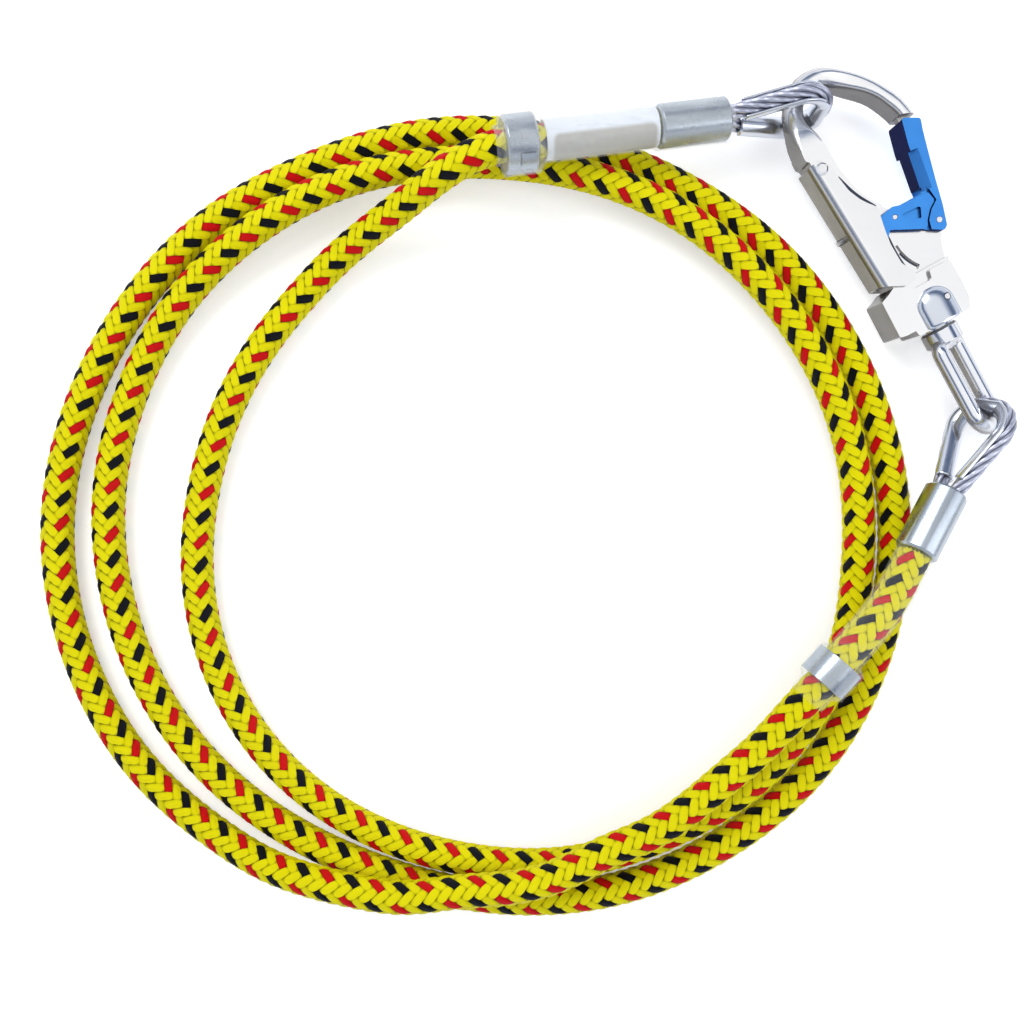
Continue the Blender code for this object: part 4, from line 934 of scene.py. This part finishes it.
def thimble_mesh(name, letter, fitting):
    """The thimble: a rolled half pipe of steel carried round the inside of the eye.

    Its section is a thick arc about the wire, with rounded lips, swept in the eye's plane."""
    line, outside, _ = eye_path(letter, 0.0, THIMBLE_STEP)
    outer = THIMBLE_OUTERS[letter]
    keep = np.abs(line[:, 1]) > outer + THIMBLE_GAP
    inner = size("wire_diameter") / 2 + THIMBLE_PLAY
    middle, thick = (outer + inner) / 2, (outer - inner) / 2
    wrap = math.radians(THIMBLE_WRAP) * np.linspace(-1, 1, WRAP_STEPS) + math.pi
    lip = np.linspace(0, math.pi, LIP_STEPS)[1:-1]
    high, low = wrap[-1], wrap[0]
    section = np.vstack([circle(wrap) * outer, circle(high) * middle + circle(high + lip) * thick,
                         circle(wrap)[::-1] * inner,
                         circle(low) * middle - circle(low + lip) * thick])
    points, _ = swept(fitting, line[keep], outside[keep], *section.T)
    rings, places = points.shape[:2]
    ring = np.arange(places)
    ends = np.stack([ring[::-1], ring + (rings - 1) * places])
    quads, _, _ = ring_quads(rings, places)
    return outward(shapes_from(name, points.reshape(-1, 3), [quads, ends]))


def lathe_mesh(name, matrix, profile, steps, sharp):
    """A closed ring turned about the X axis from (distance back, radius) pairs.

    u runs once around, and v is the share of the distance back."""
    back, radius = np.array(profile, float).T[:, :, None]
    angle = turns(steps)
    points = np.stack(np.broadcast_arrays(-back, radius * np.cos(angle), radius * np.sin(angle)), 2)
    quads, row, place = ring_quads(len(profile), steps, joined=True)
    share = ((back - back.min()) / (back.max() - back.min())).ravel()
    uvs = ring_uvs(row, place, steps, share)
    return outward(shapes_from(name, carried(matrix, points), [quads], uvs), sharp)


def grid_shell(name, points, rows, columns):
    """A closed shell from two grids of points, the lower one first."""
    row, column = np.meshgrid(np.arange(rows - 1), np.arange(columns - 1), indexing="ij")
    corner = (row * columns + column).ravel()
    low = np.stack([corner, corner + 1, corner + columns + 1, corner + columns], 1)
    high = low[:, ::-1] + rows * columns
    rim = np.concatenate([np.arange(columns - 1), np.arange(rows - 1) * columns + columns - 1,
                          (rows * columns - 1) - np.arange(columns - 1),
                          (rows - 1 - np.arange(rows - 1)) * columns])
    after = np.roll(rim, -1)
    side = np.stack([rim, rim + rows * columns, after + rows * columns, after], 1)
    return outward(shapes_from(name, points, [low, high, side]), SHELL_SHARP)


def slab_mesh(name, fitting, back, turn, levels):
    """A closed curved slab on a fitting between two distances, two angles and two radii."""
    level, far, angle = np.meshgrid(levels, np.linspace(*back, TAB_STEPS[0]),
                                    np.radians(np.linspace(*turn, TAB_STEPS[1])),
                                    indexing="ij")
    grid = np.stack([-far, level * np.cos(angle), level * np.sin(angle)], -1)
    item = grid_shell(name, carried(fitting_frame(fitting), grid), *TAB_STEPS)
    break_edges(item, TAB_EDGE, SHELL_SHARP)
    return item


def barrel_mesh(name):
    """The swivel's housing: a barrel that ends in a dome, half sunk in the block's front.

    Its height over the block is that of half an ellipse across, which keeps its size up to
    the dome's start and then shrinks along a quarter of an ellipse."""
    body = np.linspace(BARREL_FOOT + 3 * BARREL_EDGE, 0, BODY_STEPS)[:-1]
    dome = BARREL_TOP * np.sin(np.linspace(0, math.pi / 2, DOME_STEPS))
    along = np.concatenate([[BARREL_FOOT, BARREL_FOOT + BARREL_EDGE], body, dome])
    share = np.sqrt(np.maximum(DOME_TIP**2, 1 - (np.maximum(along, 0) / BARREL_TOP) ** 2))
    share[:2] *= BARREL_EDGE_SHARES
    turn = np.linspace(0, math.pi, ACROSS_STEPS)
    base = BLOCK_FRONT - BARREL_SINK
    grid = np.zeros((2, len(along), len(turn), 3))
    grid[..., 0] = share[:, None] * BARREL_HALF * np.cos(turn)
    grid[..., 1] = along[:, None]
    grid[0, ..., 2] = base
    grid[1, ..., 2] = base + BARREL_EDGE + share[:, None] * BARREL_RISE * np.sin(turn)
    return grid_shell(name, carried(hook_place(), grid), len(along), len(turn))


def pin_mesh(name, radius, top):
    """A round pin square to the hook on the housing, with a broken top edge."""
    rim = radius * PIN_RIM
    profile = [(top, PIN_EYE), (top, radius - rim), (top - rim, radius), (PIN_FOOT, radius),
               (PIN_FOOT, PIN_EYE)]
    turn = Matrix.Rotation(math.radians(90), 4, "Y")
    place = hook_place() @ Matrix.Translation((*PIN_SPOT, 0.0)) @ turn
    return lathe_mesh(name, place, profile, PIN_STEPS, PIN_SHARP)


def groove_mesh(name, inner, outer, begin, end, side):
    """A thin dark sheet of painted shade on the floor of a curved groove beside the gate's pivot.

    It is part of a ring: even angles about the pivot by two radii, at two levels."""
    floor = side * np.array([GROOVE_FLOOR, GROOVE_FLOOR + SHADE_THICKNESS])
    level, reach, angle = np.meshgrid(floor, [inner + SHADE_PLAY, outer - SHADE_PLAY],
                                      np.radians(np.linspace(begin, end, GROOVE_STEPS)),
                                      indexing="ij")
    grid = np.stack([GATE_PIVOT[0] + reach * np.cos(angle), GATE_PIVOT[1] + reach * np.sin(angle),
                     level], -1)
    return grid_shell(name, carried(hook_place(), grid), 2, GROOVE_STEPS)


def ledge_mesh(name, spots, width, base):
    """A thin dark line of painted shade along the lever's edge, wide in its middle.

    Its width is the sine of its share along, to a power that keeps its ends blunt."""
    low = smooth_line([(*spot, 0.0) for spot in spots], LEDGE_STEPS)[0][:, :2] * HOOK_SPAN
    ahead = directions(low)
    share = np.linspace(LEDGE_ENDS[0], math.pi - LEDGE_ENDS[1], LEDGE_STEPS)
    wide = width * np.sin(share) ** LEDGE_BLUNT
    grid = np.zeros((2, 2, LEDGE_STEPS, 3))
    grid[..., :2] = low
    grid[:, 1, :, :2] += np.stack([-ahead[:, 1], ahead[:, 0]], 1) * wide[:, None]
    grid[0, ..., 2] = base + LEDGE_LOW
    grid[1, ..., 2] = base + LEDGE_LOW + SHADE_THICKNESS
    return grid_shell(name, carried(hook_place(), grid), 2, LEDGE_STEPS)


def machined(node, edge=0.0, angle=SHARP_ANGLE):
    """A clean copy of a CAD piece with its edges broken and its round faces smooth."""
    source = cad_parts[node]
    mesh = source.data.copy()
    data = bmesh.new()
    data.from_mesh(mesh)
    data.transform(source.matrix_world)
    bmesh.ops.remove_doubles(data, verts=data.verts, dist=WELD)
    bmesh.ops.dissolve_limit(data, angle_limit=math.radians(FLAT_ANGLE), verts=data.verts,
                             edges=data.edges)
    data.to_mesh(mesh)
    data.free()
    item = bpy.data.objects.new(node + "_finished", mesh)
    bpy.context.scene.collection.objects.link(item)
    mesh.polygons.foreach_set("use_smooth", np.ones(len(mesh.polygons), bool))
    mesh.set_sharp_from_angle(angle=math.radians(angle))
    if edge:
        break_edges(item, edge, angle)
        weigh = item.modifiers.new("normals", "WEIGHTED_NORMAL")
        weigh.keep_sharp = True
        weigh.weight = NORMAL_WEIGHT
    return item


def flattened(item, fitting, count, share):
    """Press soft flats along the outside of a sleeve.

    Beyond the bores, the radius moves by a share towards a regular polygon's outline."""
    matrix = fitting_frame(fitting)
    points = np.zeros(len(item.data.vertices) * 3)
    item.data.vertices.foreach_get("co", points)
    local = carried(matrix.inverted(), points)
    reach = np.hypot(local[:, 1], local[:, 2])
    turn = np.arctan2(local[:, 2], local[:, 1]) % (2 * math.pi / count) - math.pi / count
    polygon = math.cos(math.pi / count) / np.cos(turn)
    scale = np.where(reach > SLEEVE_BORE, 1 - share * (1 - polygon), 1)
    local[:, 1:] *= scale[:, None]
    item.data.vertices.foreach_set("co", carried(matrix, local).ravel())
    item.data.set_sharp_from_angle(angle=math.radians(SLEEVE_SHARP))
    return item


def dress(item, material, body, slot, *nodes):
    """Give a piece its material and its body, and hide the CAD nodes that it replaces; the slot is
    not used.
    """
    item.data.materials.clear()
    item.data.materials.append(material)
    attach(item, body)
    if nodes:
        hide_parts(*nodes)


def finish(node, material, body, slot, edge=0.0, angle=SHARP_ANGLE):
    """Dress a clean copy of a CAD piece in place of the piece itself."""
    dress(machined(node, edge, angle), material, body, slot, node)


class LANYARD_OT_rope(bpy.types.Operator):
    """Build the braided rope along the coil."""
    bl_idname = "lanyard.rope"
    bl_label = "Braided rope"

    def execute(self, context):
        rope, line, length = braid_mesh("braided_rope")
        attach(rope, "lanyard")
        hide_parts("rope_cover")
        path = [tuple(point) for point in line[::PATH_STEP]] + [tuple(line[-1])]
        size("rope_diameter")
        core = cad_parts["wire_core"]
        core.data.materials.clear()
        core.data.materials.append(metal("core wire"))
        return {"FINISHED"}


class LANYARD_OT_eyes(bpy.types.Operator):
    """Build the stranded wire eyes and their thimbles."""
    bl_idname = "lanyard.eyes"
    bl_label = "Wire eyes"

    def execute(self, context):
        wire = wire_paint()
        zinc = metal("bright zinc")
        for letter, fitting in (("a", FITTING_A), ("b", FITTING_B)):
            eye = strand_mesh("stranded_eye_" + letter, letter, fitting)
            dress(eye, wire, "lanyard", "steel", "wire_eye_" + letter)
            trough = thimble_mesh("rolled_thimble_" + letter, letter, fitting)
            dress(trough, zinc, "lanyard", "zinc", "thimble_" + letter)
        return {"FINISHED"}


class LANYARD_OT_sleeves(bpy.types.Operator):
    """Finish the pressed sleeves, the crimp bands and the band's tab."""
    bl_idname = "lanyard.sleeves"
    bl_label = "Pressed sleeves and bands"

    def execute(self, context):
        satin = metal("satin aluminium")
        for letter, fitting in (("a", FITTING_A), ("b", FITTING_B)):
            node = "swage_sleeve_" + letter
            pressed = flattened(machined(node, SLEEVE_EDGE), fitting, SLEEVE_FLATS,
                                SLEEVE_PRESSES[letter])
            dress(pressed, satin, "lanyard", "satin", node)
        for node in ("crimp_band_a", "crimp_band_b"):
            finish(node, satin, "lanyard", "satin", SLEEVE_EDGE)
        tab = slab_mesh("crimp_tab", FITTING_A, TAB_BACK, TAB_TURN, TAB_LEVELS)
        dress(tab, satin, "lanyard", "satin")
        return {"FINISHED"}


class LANYARD_OT_wraps(bpy.types.Operator):
    """Finish the clear sleeves and the bare label."""
    bl_idname = "lanyard.wraps"
    bl_label = "Clear wraps and label"

    def execute(self, context):
        for letter, haze in CLEAR_HAZES.items():
            node = "clear_sleeve_" + letter
            finish(node, clear_paint("film of " + node, haze), "lanyard", "clear")
        near, far = LABEL_BACK
        inside, outside = LABEL_LEVELS
        profile = [(near, inside), (near, outside), (far, outside), (far, inside)]
        label = lathe_mesh("bare_label", fitting_frame(FITTING_A), profile, LABEL_STEPS,
                           SHELL_SHARP)
        dress(label, label_paint(), "lanyard", "label", "label_band")
        return {"FINISHED"}


class LANYARD_OT_hook(bpy.types.Operator):
    """Finish the hook's body, the swivel's housing, the washer, the dark sheets of painted shade
    and the pins.
    """
    bl_idname = "lanyard.hook"
    bl_label = "Hook body"

    def execute(self, context):
        bright = metal("bright pins")
        shade = metal("groove shade")
        finish("hook_body", metal("polished aluminium"), "hook", "polished", size("edge"))
        dress(barrel_mesh("swivel_barrel"), metal("polished barrel"), "hook", "polished",
              "swivel_cap")
        # dark sheets of painted shade on the floors of the grooves
        for number, groove in enumerate(GROOVES):
            for side, face in ((1, "front"), (-1, "back")):
                shade_sheet = groove_mesh("groove_%d_%s" % (number, face), *groove, side)
                dress(shade_sheet, shade, "hook", "polished")
        # dark lines of painted shade beside the lever's edges
        for ledge in LEDGES:
            dress(ledge_mesh(*ledge), shade, "hook", "polished")
        dress(pin_mesh("barrel_pin", *PIN_SIZE), bright, "hook", "polished")
        # a dark disc of painted shade round the pin
        dress(pin_mesh("barrel_pin_hole", *PIN_HOLE_SIZE), shade, "hook", "polished")
        for node in ("gate_pivot_pin", "lever_rivet"):
            finish(node, bright, "hook", "polished")
        finish("swivel_washer", metal("washer zinc"), "hook", "zinc")
        return {"FINISHED"}


class LANYARD_OT_gate(bpy.types.Operator):
    """Finish the gate, the trigger plates and their pins."""
    bl_idname = "lanyard.gate"
    bl_label = "Gate and trigger"

    def execute(self, context):
        blue = blue_paint()
        bright = metal("stub pins")
        finish("gate", blue, "gate", "blue", GATE_EDGE)
        for side in ("front", "back"):
            finish("trigger_" + side, blue, "trigger", "blue", TRIGGER_EDGE)
            finish("trigger_pin_" + side, bright, "gate", "polished")
        return {"FINISHED"}


class LANYARD_OT_lever(bpy.types.Operator):
    """Finish the back lever and its stop pin."""
    bl_idname = "lanyard.lever"
    bl_label = "Back lever"

    def execute(self, context):
        finish("lock_lever", metal("lever sheet"), "lever", "polished", LEVER_EDGE)
        finish("lever_stop_pin", metal("stop pin"), "lever", "zinc")
        return {"FINISHED"}


class LANYARD_OT_swivel(bpy.types.Operator):
    """Finish the swivel eye."""
    bl_idname = "lanyard.swivel"
    bl_label = "Swivel eye"

    def execute(self, context):
        finish("swivel_eye", metal("swivel steel"), "swivel", "polished", SWIVEL_EDGE,
               SWIVEL_SHARP)
        return {"FINISHED"}


class LANYARD_OT_stage(bpy.types.Operator):
    """Set the camera, the lights, the floor and the world."""
    bl_idname = "lanyard.stage"
    bl_label = "Studio"

    def execute(self, context):
        scene = context.scene
        camera = bpy.data.cameras.new("camera")
        camera.sensor_width = SENSOR_MM
        camera.lens = SENSOR_MM * FOCAL_SHARE
        camera.clip_start = CAMERA_NEAR
        view = bpy.data.objects.new("camera", camera)
        view.location = CAMERA_SPOT
        scene.collection.objects.link(view)
        scene.camera = view
        corners = np.array([(-1, -1, 0), (1, -1, 0), (1, 1, 0), (-1, 1, 0)])
        floor = shapes_from("floor", corners * FLOOR_HALF + [0, 0, FLOOR_LEVEL],
                            [np.array([[0, 1, 2, 3]])])
        floor.data.materials.append(floor_paint())
        for name, (spot, power) in LAMPS.items():
            data = bpy.data.lights.new(name, "AREA")
            data.energy = power
            data.size = LAMP_WIDTH
            lamp = bpy.data.objects.new(name, data)
            lamp.location = spot
            aim = Vector(LAMP_AIM) - Vector(spot)
            lamp.rotation_euler = aim.to_track_quat("-Z", "Y").to_euler()
            scene.collection.objects.link(lamp)
        world = bpy.data.worlds.new("studio")
        world.use_nodes = True
        scene.world = world
        paint_world(world)
        scene.view_settings.view_transform = "Standard"
        return {"FINISHED"}


class LANYARD_PT_panel(bpy.types.Panel):
    """The lanyard's sizes, colours and pieces."""
    bl_label = "Climbing lanyard"
    bl_idname = "LANYARD_PT_panel"
    bl_space_type = "VIEW_3D"
    bl_region_type = "UI"
    bl_category = "Lanyard"

    def draw(self, context):
        for group in (context.scene.lanyard_sizes, context.scene.lanyard_colours):
            for name in group.__annotations__:
                self.layout.prop(group, name)
        for operator in OPERATORS:
            self.layout.operator(operator.bl_idname)


OPERATORS = (LANYARD_OT_stage, LANYARD_OT_rope, LANYARD_OT_eyes, LANYARD_OT_sleeves,
             LANYARD_OT_wraps, LANYARD_OT_hook, LANYARD_OT_gate, LANYARD_OT_lever,
             LANYARD_OT_swivel)
CLASSES = (LanyardSizes, LanyardColours, *OPERATORS, LANYARD_PT_panel)


def register():
    """Register the classes and give the scene its sizes and colours."""
    for item in CLASSES:
        bpy.utils.register_class(item)
    bpy.types.Scene.lanyard_sizes = bpy.props.PointerProperty(type=LanyardSizes)
    bpy.types.Scene.lanyard_colours = bpy.props.PointerProperty(type=LanyardColours)


def unregister():
    """Take the classes and the scene's settings away again."""
    del bpy.types.Scene.lanyard_colours
    del bpy.types.Scene.lanyard_sizes
    for item in reversed(CLASSES):
        bpy.utils.unregister_class(item)


def main():
    """Build everything in order."""
    register()
    for operator in OPERATORS:
        group, name = operator.bl_idname.split(".")
        getattr(getattr(bpy.ops, group), name)()


if __name__ == "__main__":
    main()
